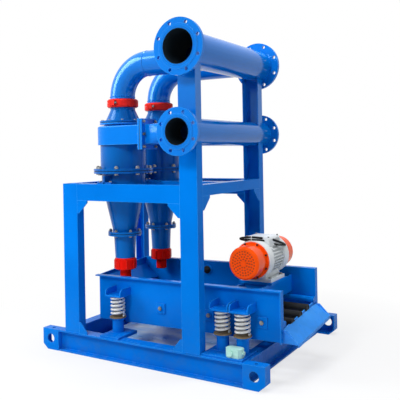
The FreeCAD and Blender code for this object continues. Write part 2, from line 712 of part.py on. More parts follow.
def build_middle_beam():
    """Beam across the frame, between the cyclones, that carries one foot of each."""
    corners = [
        ("0", "0"), ("middle_beam_wid", "0"), ("middle_beam_wid", "side_beam_hgt"), ("0", "side_beam_hgt"),
    ]
    start = "left_post_x + side_beam_wid"
    length = f"right_post_x + post_wid - side_beam_wid - ({start})"
    low = "frame_top - side_beam_hgt"
    at = from_corner(start, f"{MIDDLE_Y} - middle_beam_wid/2", low)
    outer = prism(corners, length, at)
    inner = box(
        *from_corner(f"{start} - 1", f"{MIDDLE_Y} - middle_beam_wid/2 + post_wall", f"{low} + post_wall"),
        f"{length} + 2", "middle_beam_wid - 2*post_wall", "side_beam_hgt - 2*post_wall",
    )
    node("middle_beam", cut(outer, inner))


def build_corner_plates(left_end, right_x, side_start):
    under = "frame_top - beam_hgt"
    side_under = "frame_top - side_beam_hgt"
    front_y = "rail_set"
    rear_y = "frame_dep - gusset_t"
    rear_left_end = "rear_left_x + rear_left_wid"
    flip = [(Z_AXIS, 180)]
    plates = [
        corner_plate(from_corner(left_end, front_y, under), None),
        corner_plate(from_corner("right_post_x", f"{front_y} + gusset_t", under), flip),
        corner_plate(from_corner(rear_left_end, rear_y, under), None),
        corner_plate(from_corner("right_post_x", "frame_dep", under), flip),
        corner_plate(from_corner(right_x, side_start, side_under), ALONG_Y),
        corner_plate(
            from_corner(f"{right_x} - gusset_t", "frame_dep - post_dep", side_under), [(Z_AXIS, -90)],
        ),
        corner_plate(from_corner("left_post_x + gusset_t", side_start, side_under), ALONG_Y),
        corner_plate(from_corner("left_post_x", "frame_dep - post_dep", side_under), [(Z_AXIS, -90)]),
    ]
    size = ("foot_gusset_wid", "foot_gusset_hgt")
    upright = [(X_AXIS, 180)]
    upright_left = [(X_AXIS, 180), (Z_AXIS, 180)]
    feet = [
        corner_plate(from_corner(left_end, f"{front_y} + gusset_t", "rail_hgt"), upright, *size),
        corner_plate(from_corner("right_post_x", front_y, "rail_hgt"), upright_left, *size),
        corner_plate(from_corner(rear_left_end, "frame_dep", "rail_hgt"), upright, *size),
        corner_plate(from_corner("right_post_x", rear_y, "rail_hgt"), upright_left, *size),
    ]
    node("frame_corner_plates", group(plates + feet))


# Pipes

PIPE_X = "right_post_x + post_wid/2"


def flanged_pipe(radius, wall, length, flange_r, flange_t, face_r, circle, y, tall):
    """Pipe with a flange and a raised face at each end, turned about its own Z axis."""
    end = f"{length} - raised_face"
    body = lathe([
        (f"{radius} - {wall}", "0"), (face_r, "0"), (face_r, "raised_face"), (flange_r, "raised_face"),
        (flange_r, flange_t), (radius, flange_t), (radius, f"{length} - {flange_t}"),
        (flange_r, f"{length} - {flange_t}"), (flange_r, end), (face_r, end), (face_r, length),
        (f"{radius} - {wall}", length),
    ], ORIGIN)
    for face in (flange_t, length):
        ring_of_holes(body, face, flange_t, f"{circle}/2", "flange_hole_r", "flange_holes")
    return place(body, from_corner(PIPE_X, y, tall), AXIS_TO_Y)


def elbow(y):
    """Swept bend with a spigot below and a level stub that is coped to the outlet header."""
    body = new_body()
    sketch = circles(body, "XY_Plane", [
        ("-elbow_r", "0", "elbow_pipe_r"), ("-elbow_r", "0", "elbow_pipe_r - elbow_wall"),
    ])
    bend = body.newObject("PartDesign::Revolution", "Bend")
    bend.Profile = sketch
    bend.ReferenceAxis = (sketch, ["V_Axis"])
    bend.Angle = 90
    place(body, from_corner("cyclone_x + elbow_r", y, "elbow_hgt - elbow_r"))
    ring = [("elbow_pipe_r - elbow_wall", "0"), ("elbow_pipe_r", "0")]
    spigot_len = "elbow_hgt - elbow_r - elbow_end"
    spigot = lathe(
        ring + [
            ("elbow_pipe_r", f"{spigot_len} - weld_wid"),
            ("elbow_pipe_r + weld_r", f"{spigot_len} - weld_wid/2"),
            ("elbow_pipe_r", spigot_len), ("elbow_pipe_r - elbow_wall", spigot_len),
        ],
        from_corner("cyclone_x", y, "elbow_end"),
    )
    stub_len = f"{PIPE_X} - cyclone_x - elbow_r"
    stub = lathe(
        ring + [
            ("elbow_pipe_r + weld_r", "weld_wid/2"), ("elbow_pipe_r", "weld_wid"),
            ("elbow_pipe_r", stub_len), ("elbow_pipe_r - elbow_wall", stub_len),
        ],
        from_corner("cyclone_x + elbow_r", y, "elbow_hgt"), [(Y_AXIS, 90)],
    )
    header = pipe_tool("outlet_r + cope_gap", "outlet_y", OUTLET_LEN, "outlet_hgt", PIPE_X)
    return fuse([body, spigot, cut(stub, header)])


def build_pipes():
    header = flanged_pipe(
        "outlet_r", "outlet_wall", OUTLET_LEN, "outlet_flange_r", "outlet_flange_t",
        "outlet_face_r", "outlet_pcd", "outlet_y", "outlet_hgt",
    )
    manifold = flanged_pipe(
        "inlet_r", "inlet_wall", INLET_LEN, "inlet_flange_r", "inlet_flange_t",
        "inlet_face_r", "inlet_pcd", "inlet_y", "inlet_hgt",
    )
    outlet_ports = []
    inlet_ports = []
    for number in (0, 1):
        y = f"{FIRST_Y} + {number}*{PITCH}"
        start = f"{PIPE_X} - outlet_r - 10"
        outlet_ports.append(rod(
            "elbow_pipe_r - elbow_wall", "outlet_r + 10", from_corner(start, y, "elbow_hgt"), [(Y_AXIS, 90)],
        ))
        start = f"{PIPE_X} - inlet_r - 10"
        duct_y = f"{y} - {DUCT_MIDDLE}"
        inlet_ports.append(rod(
            "branch_r - elbow_wall", "inlet_r + 10", from_corner(start, duct_y, "inlet_hgt"), [(Y_AXIS, 90)],
        ))
        node(f"outlet_elbow_{number + 1}", elbow(y))
    node("outlet_header", cut(header, group(outlet_ports)))
    node("inlet_manifold", cut(manifold, group(inlet_ports)))


DUCT_MIDDLE = "(duct_inner + barrel_r + 3*scroll_set)/2"


# Cyclones

def build_cyclone(number):
    y = f"{FIRST_Y} + {number - 1}*{PITCH}"
    axis = from_corner("cyclone_x", y, "0")
    node(f"feed_head_{number}", feed_head(y))
    node(f"cyclone_cone_{number}", cyclone_cone(axis, y))
    foot = "joint_hgt + gasket_t/2"
    barrel = lathe([
        ("barrel_r - cyclone_wall", foot), ("joint_r", foot), ("joint_r", f"{foot} + joint_t"),
        ("barrel_r", f"{foot} + joint_t"), ("barrel_r", "head_low"), ("barrel_r - cyclone_wall", "head_low"),
    ], axis)
    ring_of_holes(barrel, f"{foot} + joint_t", "joint_t", *JOINT_RING)
    top = "low_joint_hgt - gasket_t/2"
    apex = lathe([
        ("apex_top_r - cyclone_wall", top), ("low_joint_r", top), ("low_joint_r", f"{top} - low_joint_t"),
        ("apex_top_r", f"{top} - low_joint_t"), ("apex_end_r", "apex_end"),
        ("apex_end_r - cyclone_wall", "apex_end"),
    ], axis)
    ring_of_holes(apex, top, "low_joint_t", *LOW_RING)
    cover = lathe([
        ("elbow_pipe_r - elbow_wall", UNDER_COVER), ("cover_r", UNDER_COVER), ("cover_r", "cover_hgt"),
        ("neck_foot_r", "cover_hgt"), ("elbow_pipe_r", "neck_low"), ("elbow_pipe_r", "neck_end"),
        ("elbow_pipe_r - elbow_wall", "neck_end"),
    ], axis)
    ring_of_holes(cover, "cover_hgt", "cover_t", *COVER_RING)
    nozzle = lathe([
        ("nozzle_bore_r", "nozzle_end"), ("nozzle_r", "nozzle_end"), ("nozzle_r", "nut_low - seat_gap"),
        ("nozzle_bore_r", "nut_low - seat_gap"),
    ], axis)
    finder_low = f"{UNDER_COVER} - finder_flange_t"
    finder = lathe([
        ("finder_r - elbow_wall", "finder_end"), ("finder_r", "finder_end"), ("finder_r", finder_low),
        ("mouth_r - finder_gap", finder_low), ("mouth_r - finder_gap", UNDER_COVER),
        ("finder_r - elbow_wall", UNDER_COVER),
    ], axis)
    return {
        "cyclone_barrels": [barrel], "apex_cones": [apex], "top_covers": [cover],
        "apex_nuts": [apex_nut(axis)], "apex_nozzles": [nozzle], "vortex_finders": [finder],
        "flange_gaskets": gaskets(axis, y), "elbow_couplings": [pipe_coupling(y)],
        "inlet_transitions": [inlet_transition(y)], "cyclone_bolts": cyclone_bolts(y),
    }


UNDER_COVER = "cover_hgt - cover_t"
JOINT_RING = ("joint_circle_r", "bolt_r + bolt_clear", "joint_bolts")
LOW_RING = ("low_circle_r", "small_bolt_r + bolt_clear", "low_joint_bolts")
COVER_RING = ("cover_circle_r", "stud_r + bolt_clear", "cover_screws")


def gaskets(axis, y):
    """Flat rings in the three round joints, and a plate in the duct joint."""
    joints = (
        ("barrel_r - cyclone_wall", "joint_r - 4", "joint_hgt - gasket_t/2", JOINT_RING),
        ("apex_top_r - cyclone_wall", "low_joint_r - 4", "low_joint_hgt - gasket_t/2", LOW_RING),
        ("mouth_r", "cover_r - 4", RIM_TOP, COVER_RING),
    )
    made = []
    for inner, outer, low, ring in joints:
        high = f"{low} + gasket_t"
        flat = lathe([(inner, low), (outer, low), (outer, high), (inner, high)], axis)
        ring_of_holes(flat, high, "gasket_t", *ring)
        made.append(flat)
    made.append(duct_plate("cyclone_x + duct_len", y, "gasket_t"))
    return made


def cyclone_bolts(y):
    """Bolts of the two flange joints, the duct joint, the coupling, the cover and the feet."""
    made = []
    for x, place_y in around(y, "joint_circle_r", "joint_bolts"):
        low = "joint_hgt - gasket_t/2 - joint_t"
        made.append(bolt("bolt_r", "2*joint_t + gasket_t", from_corner(x, place_y, low)))
    for x, place_y in around(y, "low_circle_r", "low_joint_bolts"):
        low = "low_joint_hgt - gasket_t/2 - low_joint_t"
        made.append(bolt("small_bolt_r", "2*low_joint_t + gasket_t", from_corner(x, place_y, low)))
    for x, place_y in around(y, "cover_circle_r", "cover_screws"):
        made.append(screw("stud_r", "cover_t + gasket_t + 10", from_corner(x, place_y, "cover_hgt")))
    for bolt_y, bolt_z in duct_bolt_places(y):
        at = from_corner("cyclone_x + duct_len - duct_flange_t", bolt_y, bolt_z)
        made.append(bolt("small_bolt_r", "2*duct_flange_t + gasket_t", at, [(Y_AXIS, 90)]))
    for side in (-1, 1):
        at = from_corner("cyclone_x - ear_wid/2", f"{y} + {side}*(coupling_r + ear_len/2)", COUPLING_HGT)
        made.append(bolt("stud_r", "ear_wid", at, [(Y_AXIS, 90)]))
        for x, place_y in foot_screw_places(y, side):
            made.append(screw("small_bolt_r", "foot_t", from_corner(x, place_y, "frame_top + foot_t")))
    return made


def foot_end(y, side):
    """End of a cyclone foot: by the frame's middle, or in from the frame's edge."""
    if (side > 0) == (y == FIRST_PLACE):
        return f"{MIDDLE_Y} - ({side}*foot_reach)"
    return "foot_in" if side < 0 else "frame_dep - foot_in"


def foot_screw_places(y, side):
    """Screws in the part of a cyclone foot that no shell stands over."""
    edge = f"{foot_end(y, side)} - ({side}*foot_edge)"
    for x in ("cyclone_x - foot_bolt_x", "cyclone_x + foot_bolt_x"):
        yield x, edge


def duct_bolt_places(y):
    middle = f"{y} - {DUCT_MIDDLE}"
    for row in (-1, 0, 1):
        for side in (-1, 1):
            yield f"{middle} + {side}*duct_bolt_y", f"inlet_hgt + {row}*duct_bolt_pitch"


def feed_head(y):
    """Scroll with a tangential duct and its flange, open below and with a mouth under the cover."""
    far = "-(barrel_r + 3*scroll_set)"
    near = "-duct_inner"
    upper = "barrel_r + scroll_set"
    body = new_body()
    scroll = outline(body, "XY_Plane", [
        ("0", upper, "0", "-scroll_set", 1),
        ("0", far), ("duct_len", far), ("duct_len", near), ("barrel_r", near),
        ("barrel_r", "scroll_set", "0", "scroll_set", 1),
    ])
    round_edges(body, pad(body, scroll, "head_hgt"), "head_hgt", "head_round")
    bore = circles(body, "XY_Plane", [("0", "0", "barrel_r - cyclone_wall")])
    bind(bore, "AttachmentOffset.Base.z", "head_hgt - cyclone_wall")
    pocket(body, bore, "head_hgt")
    mouth = circles(body, "XY_Plane", [("0", "0", "mouth_r")])
    bind(mouth, "AttachmentOffset.Base.z", "head_hgt")
    pocket(body, mouth, "2*cyclone_wall")
    duct = outline(body, "YZ_Plane", [
        (f"{far} + cyclone_wall", "cyclone_wall"), (f"{near} - cyclone_wall", "cyclone_wall"),
        (f"{near} - cyclone_wall", "head_hgt - cyclone_wall"),
        (f"{far} + cyclone_wall", "head_hgt - cyclone_wall"),
    ])
    bind(duct, "AttachmentOffset.Base.z", "duct_len")
    pocket(body, duct, "duct_len")
    place(body, from_corner("cyclone_x", y, "head_low"))
    rim = lathe([
        ("mouth_r", NECK_LOW), ("rim_neck_r", NECK_LOW), ("rim_neck_r", f"{RIM_TOP} - rim_t"),
        ("cover_r", f"{RIM_TOP} - rim_t"), ("cover_r", RIM_TOP), ("mouth_r", RIM_TOP),
    ], from_corner("cyclone_x", y, "0"))
    ring_of_holes(rim, RIM_TOP, "rim_t", *COVER_RING)
    return fuse([body, rim, duct_plate("cyclone_x + duct_len - duct_flange_t", y, "duct_flange_t")])


NECK_LOW = "head_low + head_hgt"
RIM_TOP = "cover_hgt - cover_t - gasket_t"


def duct_plate(x, y, thick):
    """Rectangular plate across X, with the duct's opening cut through."""
    centre_y = f"{y} - {DUCT_MIDDLE}"
    corner = from_corner(x, f"{centre_y} - duct_flange_wid/2", "inlet_hgt - duct_flange_hgt/2")
    plate = box(*corner, thick, "duct_flange_wid", "duct_flange_hgt")
    clear = "barrel_r + 3*scroll_set - duct_inner - 2*cyclone_wall"
    corner = from_corner(f"{x} - 1", f"{centre_y} - ({clear})/2", "head_low + cyclone_wall")
    gone = [box(*corner, f"{thick} + 2", clear, "head_hgt - 2*cyclone_wall")]
    for hole_y, hole_z in duct_bolt_places(y):
        at = from_corner(f"{x} - 1", hole_y, hole_z)
        gone.append(rod("small_bolt_r + bolt_clear", f"{thick} + 2", at, [(Y_AXIS, 90)]))
    return cut(plate, group(gone))


def square_to_round(at, half_tall, half_wid, radius):
    """Loft along X from a level rectangle to a circle."""
    body = new_body()
    square = outline(body, "XY_Plane", [
        (f"-({half_tall})", f"-({half_wid})"), (half_tall, f"-({half_wid})"),
        (half_tall, half_wid), (f"-({half_tall})", half_wid),
    ])
    round_end = circles(body, "XY_Plane", [("0", "0", radius)])
    bind(round_end, "AttachmentOffset.Base.z", "transition_len")
    loft = body.newObject("PartDesign::AdditiveLoft", "Loft")
    loft.Profile = square
    loft.Sections = [round_end]
    loft.Ruled = True
    return place(body, at, [(Y_AXIS, 90)])


def inlet_transition(y):
    """Flange, square to round piece and branch pipe that is coped to the inlet manifold."""
    centre_y = f"{y} - {DUCT_MIDDLE}"
    start = "cyclone_x + duct_len + gasket_t"
    plate = duct_plate(start, y, "duct_flange_t")
    at = from_corner(f"{start} + duct_flange_t", centre_y, "inlet_hgt")
    half_wid = "(barrel_r + 3*scroll_set - duct_inner)/2"
    outer = square_to_round(at, "head_hgt/2", half_wid, "branch_r")
    hollow = square_to_round(
        at, "head_hgt/2 - cyclone_wall", f"{half_wid} - cyclone_wall", "branch_r - elbow_wall",
    )
    pipe_start = f"{start} + duct_flange_t + transition_len"
    pipe_len = f"{PIPE_X} - ({pipe_start})"
    at = from_corner(pipe_start, centre_y, "inlet_hgt")
    pipe = rod("branch_r", pipe_len, at, [(Y_AXIS, 90)])
    bore = rod("branch_r - elbow_wall", pipe_len, at, [(Y_AXIS, 90)])
    manifold = pipe_tool("inlet_r + cope_gap", "inlet_y", INLET_LEN, "inlet_hgt", PIPE_X)
    solid = cut(fuse([plate, outer, pipe]), group([hollow, bore]))
    return cut(solid, manifold)


def cyclone_cone(axis, y):
    """Flange, straight part and cone in one, with the feet that stand on the frame."""
    top = "joint_hgt - gasket_t/2"
    low = "low_joint_hgt + gasket_t/2"
    shell = lathe([
        ("body_r - cyclone_wall", top), ("joint_r", top), ("joint_r", f"{top} - joint_t"),
        ("body_r", f"{top} - joint_t"), ("body_r", "body_low"), ("cone_end_r", f"{low} + low_joint_t"),
        ("low_joint_r", f"{low} + low_joint_t"), ("low_joint_r", low), ("cone_end_r - cyclone_wall", low),
        ("body_r - cyclone_wall", "body_low"),
    ], axis)
    ring_of_holes(shell, top, "joint_t", *JOINT_RING)
    ring_of_holes(shell, f"{low} + low_joint_t", "low_joint_t", *LOW_RING)
    feet = []
    holes = []
    for side in (-1, 1):
        outer = foot_end(y, side)
        start = outer if side < 0 else f"{outer} - foot_dep"
        reach = f"({y} - ({outer}))*({-side}) - body_r + 2*cyclone_wall"
        at = from_corner("cyclone_x - foot_wid/2", start, "frame_top")
        feet.append(box(*at, "foot_wid", "foot_dep", "foot_t"))
        rib_y = outer if side < 0 else f"{y} + body_r - 2*cyclone_wall"
        rib = from_corner("cyclone_x - foot_t/2", rib_y, "frame_top")
        feet.append(box(*rib, "foot_t", reach, "foot_rib_hgt"))
        for x, place_y in foot_screw_places(y, side):
            at = from_corner(x, place_y, "frame_top - 1")
            holes.append(rod("small_bolt_r + bolt_clear", "foot_t + 2", at))
    core = rod("body_r - cyclone_wall", "joint_hgt - body_low", from_corner("cyclone_x", y, "body_low"))
    return fuse([shell, cut(group(feet), group(holes + [core]))])


def apex_nut(axis):
    """Round nut with ribs around it, screwed on the end of the apex cone."""
    body = new_body()
    turned = body.newObject("PartDesign::Revolution", "Revolution")
    sketch = outline(body, "XZ_Plane", [
        ("nozzle_bore_r", "0"), ("nut_body_r - 8", "0"), ("nut_body_r", "8"),
        ("nut_body_r", "nut_top - nut_low - 8"),
        ("nut_body_r - 3", "nut_top - nut_low"), ("apex_end_r + coupling_gap", "nut_top - nut_low"),
        ("apex_end_r + coupling_gap", "apex_end - nut_low - seat_gap"),
        ("nozzle_bore_r", "apex_end - nut_low - seat_gap"),
    ])
    turned.Profile = sketch
    turned.ReferenceAxis = (sketch, ["V_Axis"])
    turned.Angle = 360
    rib = outline(body, "XY_Plane", [
        ("nut_body_r - 3", "-4"), ("nut_r", "-4"), ("nut_r", "4"), ("nut_body_r - 3", "4"),
    ])
    bind(rib, "AttachmentOffset.Base.z", "8")
    raised = pad(body, rib, "nut_top - nut_low - 16")
    pattern = body.newObject("PartDesign::PolarPattern", "Pattern")
    pattern.Originals = [raised]
    pattern.Axis = (own_plane(body, "Z_Axis"), [""])
    pattern.Angle = 360
    bind(pattern, "Occurrences", "nut_ribs")
    body.Tip = pattern
    return place(body, (axis[0], axis[1], "nut_low"))


COUPLING_HGT = "(elbow_end + neck_end)/2"


def pipe_coupling(y):
    """Pipe coupling in two halves, with bolt ears at the front and at the back."""
    inner = "elbow_pipe_r + coupling_gap"
    ring = lathe([
        (inner, "-coupling_hgt/2"), ("coupling_r - 8", "-coupling_hgt/2"),
        ("coupling_r", "-coupling_hgt/2 + 8"),
        ("coupling_r", "coupling_hgt/2 - 8"), ("coupling_r - 8", "coupling_hgt/2"), (inner, "coupling_hgt/2"),
    ], from_corner("cyclone_x", y, COUPLING_HGT))
    ears = []
    holes = []
    for start, axis in (
        (f"{y} - coupling_r - ear_len", f"{y} - coupling_r - ear_len/2"),
        (f"{y} + coupling_r - 8", f"{y} + coupling_r + ear_len/2"),
    ):
        at = from_corner("cyclone_x - ear_wid/2", start, f"{COUPLING_HGT} - ear_hgt/2")
        ears.append(box(*at, "ear_wid", "ear_len + 8", "ear_hgt"))
        at = from_corner("cyclone_x - ear_wid/2 - 1", axis, COUPLING_HGT)
        holes.append(rod("stud_r + bolt_clear", "ear_wid + 2", at, [(Y_AXIS, 90)]))
    low = f"{COUPLING_HGT} - coupling_hgt"
    at = from_corner("cyclone_x - coupling_split/2", f"{y} - coupling_r - ear_len - 1", low)
    split = box(*at, "coupling_split", "2*coupling_r + 2*ear_len + 2", "2*coupling_hgt")
    return cut(fuse([ring] + ears), group(holes + [split]))


def build_cyclones():
    shared = {}
    for number in (1, 2):
        for name, pieces in build_cyclone(number).items():
            shared.setdefault(name, []).extend(pieces)
    for name, pieces in shared.items():
        node(name, group(pieces))


# Screen box

BOX_MIDDLE = "box_y + box_wid/2"
REAR_HIGHER = "(motor_hgt - cap_rim_r - rear_under - box_top)"


def side_plate(y, extra, outward):
    """Side plate whose edges rise along its length, with a flange around its top and its ends."""
    slope = "box_rise"
    low = "box_low"
    top = f"box_top + {extra}"
    plate = prism([
        ("0", low), ("box_len", f"{low} + {slope}"), ("box_len", f"{top} + {slope}"), ("0", top),
    ], "box_wall", from_corner("box_x", y, "0"), role="XZ_Plane", reverse=True)
    edge_y = f"{y} - box_flange" if outward < 0 else f"{y} + box_wall"
    rim = prism([
        ("-box_flange/3", f"{top} - box_wall"), ("box_len", f"{top} + {slope} - box_wall"),
        ("box_len", f"{top} + {slope}"), ("-box_flange/3", top),
    ], "box_flange", from_corner("box_x", edge_y, "0"), role="XZ_Plane", reverse=True)
    end = prism([
        ("box_len - box_wall", f"{low} + {slope}"), ("box_len", f"{low} + {slope}"),
        ("box_len", f"{top} + {slope} - box_wall"), ("box_len - box_wall", f"{top} + {slope} - box_wall"),
    ], "box_flange", from_corner("box_x", edge_y, "0"), role="XZ_Plane", reverse=True)
    return fuse([plate, rim, end])


def build_screen_box():
    rear_y = "box_y + box_wid - box_wall"
    node("side_plate_front", side_plate("box_y", "0", -1))
    port = rod("port_r", "2*box_wall", from_corner("port_x", f"{rear_y} - box_wall", "port_hgt"), AXIS_TO_Y)
    at = from_corner("port_x", f"{rear_y} - 1.5*box_wall", "port_hgt")
    port_bore = rod("port_r/2", "3*box_wall", at, AXIS_TO_Y)
    node("side_plate_rear", cut(fuse([side_plate(rear_y, REAR_HIGHER, 1), port]), port_bore))
    inside = "box_wid - 2*box_wall"
    wall = prism([
        ("0", "0"), (inside, "0"), (inside, f"box_top + {REAR_HIGHER} - box_low"), ("0", "box_top - box_low"),
    ], "end_wall_t", from_corner("box_x", "box_y + box_wall", "box_low"))
    top = "box_top - 2*box_wall"
    baffle = prism([
        ("0", top), ("0", f"{top} - box_wall"), ("baffle_run", f"{top} - baffle_drop - box_wall"),
        ("baffle_run", f"{top} - baffle_drop"),
    ], inside, from_corner("box_x + end_wall_t", "box_y + box_wall", "0"), role="XZ_Plane", reverse=True)
    node("feed_end_wall", fuse([wall, baffle]))
    build_deck(inside)
    build_lip()
    build_bridge()
    build_spring_brackets()


BOX_BOLTS = []
LAST_CROSS = "box_x + box_len - cross_end"
THIRD_CROSS = "spring_x_2 - cross_past_spring"
CROSS_PLACES = ["cross_x", f"(cross_x + {THIRD_CROSS})/2", THIRD_CROSS, LAST_CROSS]


def build_deck(inside):
    crosses = []
    low = "stringer_hgt - stringer_r - cross_r - saddle_hgt"
    for number in range(4):
        x = CROSS_PLACES[number]
        pieces = [rod("cross_r", inside, from_corner(x, "box_y + box_wall", low), AXIS_TO_Y)]
        for line in range(3):
            y = f"stringer_y + {line}*stringer_pitch"
            tall = f"cross_r + saddle_hgt + {line}*stringer_step - seat_gap"
            at = from_corner(f"{x} - saddle_len/2", f"{y} - saddle_wid/2", low)
            pieces.append(box(*at, "saddle_len", "saddle_wid", tall))
        crosses.append(fuse(pieces))
    node("deck_cross_tubes", group(crosses))
    stringers = []
    for line in range(3):
        y = f"stringer_y + {line}*stringer_pitch"
        z = f"stringer_hgt + {line}*stringer_step"
        length = "box_len - end_wall_t - seat_gap"
        at = from_corner("box_x + end_wall_t + seat_gap", y, z)
        stringers.append(rod("stringer_r", length, at, [(Y_AXIS, 90)]))
    node("deck_stringers", group(stringers))
    bars = []
    plates = []
    for (y, z), plate_y in zip(SCREEN_BARS, ("box_y - plate_t", "box_y + box_wid")):
        at = from_corner("box_x + end_wall_t + seat_gap", y, z)
        bars.append(rod("bar_r", "box_len - end_wall_t - seat_gap", at, [(Y_AXIS, 90)]))
        for number in range(4):
            x = CROSS_PLACES[number]
            if number in (0, 3) and plate_y != "box_y - plate_t":
                # The rear spring brackets stand at these places.
                continue
            corner = from_corner(f"{x} - plate_side/2", plate_y, f"{z} - plate_side/2")
            plate = box(*corner, "plate_side", "plate_t", "plate_side")
            hole = rod("bolt_r + bolt_clear", "plate_t", from_corner(x, plate_y, z), AXIS_TO_Y)
            plates.append(cut(plate, hole))
            front = plate_y == "box_y - plate_t"
            at = from_corner(x, plate_y if front else f"{plate_y} + plate_t", z)
            BOX_BOLTS.append(screw("bolt_r", "plate_t", at, [(X_AXIS, 90 if front else -90)]))
    node("screen_bars", group(bars))
    node("tension_plates", group(plates))


def build_lip():
    """Sloping discharge plate between two cheeks, with a cup plate for the stringers' ends."""
    start = "box_x + box_len"
    low = "box_low + box_rise"
    cheek = [
        ("0", "0"), ("lip_run", "0"), ("lip_run", "lip_t"), ("lip_edge", "lip_drop"), ("0", "lip_drop"),
    ]
    pieces = [
        prism(cheek, "box_wall", from_corner(start, "box_y", low), role="XZ_Plane", reverse=True),
        prism(
            cheek, "box_wall", from_corner(start, "box_y + box_wid - box_wall", f"{low} + rear_rise"),
            role="XZ_Plane", reverse=True,
        ),
    ]
    wide = "sqrt(box_wid*box_wid + rear_rise*rear_rise)"
    fold = [
        ("0", "lip_drop"), ("0", "lip_drop - lip_t"), ("lip_run - lip_t", "0"),
        ("lip_run - lip_t", "-lip_edge/2"), ("lip_run", "-lip_edge/2"), ("lip_run", "lip_t"),
    ]
    plate = prism(fold, wide, from_corner(start, "box_y", low), role="XZ_Plane", reverse=True)
    plate.Placement.Rotation.Axis = FreeCAD.Vector(*X_AXIS)
    bind(plate, "Placement.Rotation.Angle", "atan(rear_rise/box_wid)")
    pieces.append(plate)
    cups = prism([
        ("0", "0"), (INSIDE, "rear_rise"), (INSIDE, "stringer_hgt - box_low + rear_rise - stringer_r/2"),
        ("0", "stringer_hgt - box_low - box_rise - stringer_r/2"),
    ], "box_wall", from_corner(f"{start} - cup_set", "box_y + box_wall", low))
    room = []
    for line in range(3):
        y = f"stringer_y + {line}*stringer_pitch"
        z = f"stringer_hgt + {line}*stringer_step"
        at = from_corner(f"{start} - 2*cup_set", y, z)
        room.append(rod("stringer_r + seat_gap", "2*cup_set", at, [(Y_AXIS, 90)]))
    for y, z in SCREEN_BARS:
        at = from_corner(f"{start} - 2*cup_set", y, z)
        room.append(rod("bar_r + seat_gap", "2*cup_set", at, [(Y_AXIS, 90)]))
    pieces.append(cut(cups, group(room)))
    node("discharge_lip", fuse(pieces))


INSIDE = "box_wid - 2*box_wall"
SCREEN_BARS = (
    ("box_y + box_wall + bar_r + seat_gap", "bar_hgt"),
    ("box_y + box_wid - box_wall - bar_r - seat_gap", "bar_hgt + rear_rise"),
)


def build_bridge():
    """Two cross plates between the side plates, with ribs and the motor's base plate on them."""
    low = "bridge_low"
    tall = "motor_hgt - motor_up - base_t - bridge_low"
    pieces = []
    for side in (-1, 1):
        x = f"motor_x + {side}*(base_wid/2 - 30) - box_wall/2"
        at = from_corner(x, "box_y + box_wall", low)
        pieces.append(box(*at, "box_wall", INSIDE, tall))
    for y in ("base_front + 12", "base_front + base_dep - 12 - box_wall"):
        at = from_corner("motor_x - base_wid/2 + 30", y, low)
        pieces.append(box(*at, "base_wid - 60", "box_wall", tall))
    at = from_corner("motor_x - base_wid/2", "base_front", "motor_hgt - motor_up - base_t")
    pieces.append(box(*at, "base_wid", "base_dep", "base_t"))
    node("motor_bridge", fuse(pieces))


MOTOR_MIDDLE = "motor_y + cap_len + case_len/2"


def spring_places():
    for x in ("spring_x_1", "spring_x_2", "spring_x_3"):
        yield x, "spring_y", -1
        yield x, mirrored("spring_y"), 1


EAR_ROUND = "(shelf_gusset_hgt - shelf_tip)"


def build_spring_brackets():
    brackets = []
    shelf_z = "spring_low + spring_hgt + seat_gap"
    for x, y, side in spring_places():
        near = "box_y - plate_t" if side < 0 else "box_y + box_wid + plate_t"
        depth = "box_y - spring_y + pad_r"
        shelf_y = "spring_y - pad_r" if side < 0 else "box_y + box_wid"
        shelf = box(*from_corner(f"{x} - shelf_wid/2", shelf_y, shelf_z), "shelf_wid", depth, "shelf_t")
        slot_y = "box_y - slot_dep - plate_t" if side < 0 else "box_y + box_wid + plate_t"
        at = from_corner(f"{x} - slot_wid/2", slot_y, f"{shelf_z} - 1")
        slot = box(*at, "slot_wid", "slot_dep", "shelf_t + 2")
        pieces = [cut(shelf, slot)]
        for edge in (f"{x} - shelf_wid/2", f"{x} + shelf_wid/2 - gusset_t"):
            if side < 0:
                ear = [
                    ("0", "0"), (depth, "0"), (depth, "shelf_gusset_hgt"),
                    (EAR_ROUND, "shelf_gusset_hgt", EAR_ROUND, "shelf_tip", 1), ("0", "shelf_tip"),
                ]
            else:
                middle = f"{depth} - {EAR_ROUND}"
                ear = [
                    ("0", "0"), (depth, "0"), (depth, "shelf_tip", middle, "shelf_tip", 1),
                    (middle, "shelf_gusset_hgt"), ("0", "shelf_gusset_hgt"),
                ]
            pieces.append(prism(ear, "gusset_t", from_corner(edge, shelf_y, f"{shelf_z} + shelf_t")))
        brackets.append(fuse(pieces))
    node("spring_brackets", group(brackets))


# Springs and their seats

PAST_POST = "right_post_x + post_wid + 3"


def coil(x, y):
    """Ground coil spring, swept along a helix."""
    turns = SIZES["spring_turns"]
    tall = SIZES["spring_hgt"] - 2 * SIZES["wire_r"]
    helix = Part.makeHelix(tall / turns, tall, SIZES["spring_r"])
    wire = Part.Wire(helix.Edges)
    centre = FreeCAD.Vector(SIZES["spring_r"], 0, 0)
    ring = Part.Wire([Part.makeCircle(SIZES["wire_r"], centre, FreeCAD.Vector(0, 1, 0))])
    solid = wire.makePipeShell([ring], True, True)
    thing = doc.addObject("Part::Feature", "Coil")
    thing.Shape = solid
    return place(thing, from_corner(x, y, "spring_low + wire_r"))


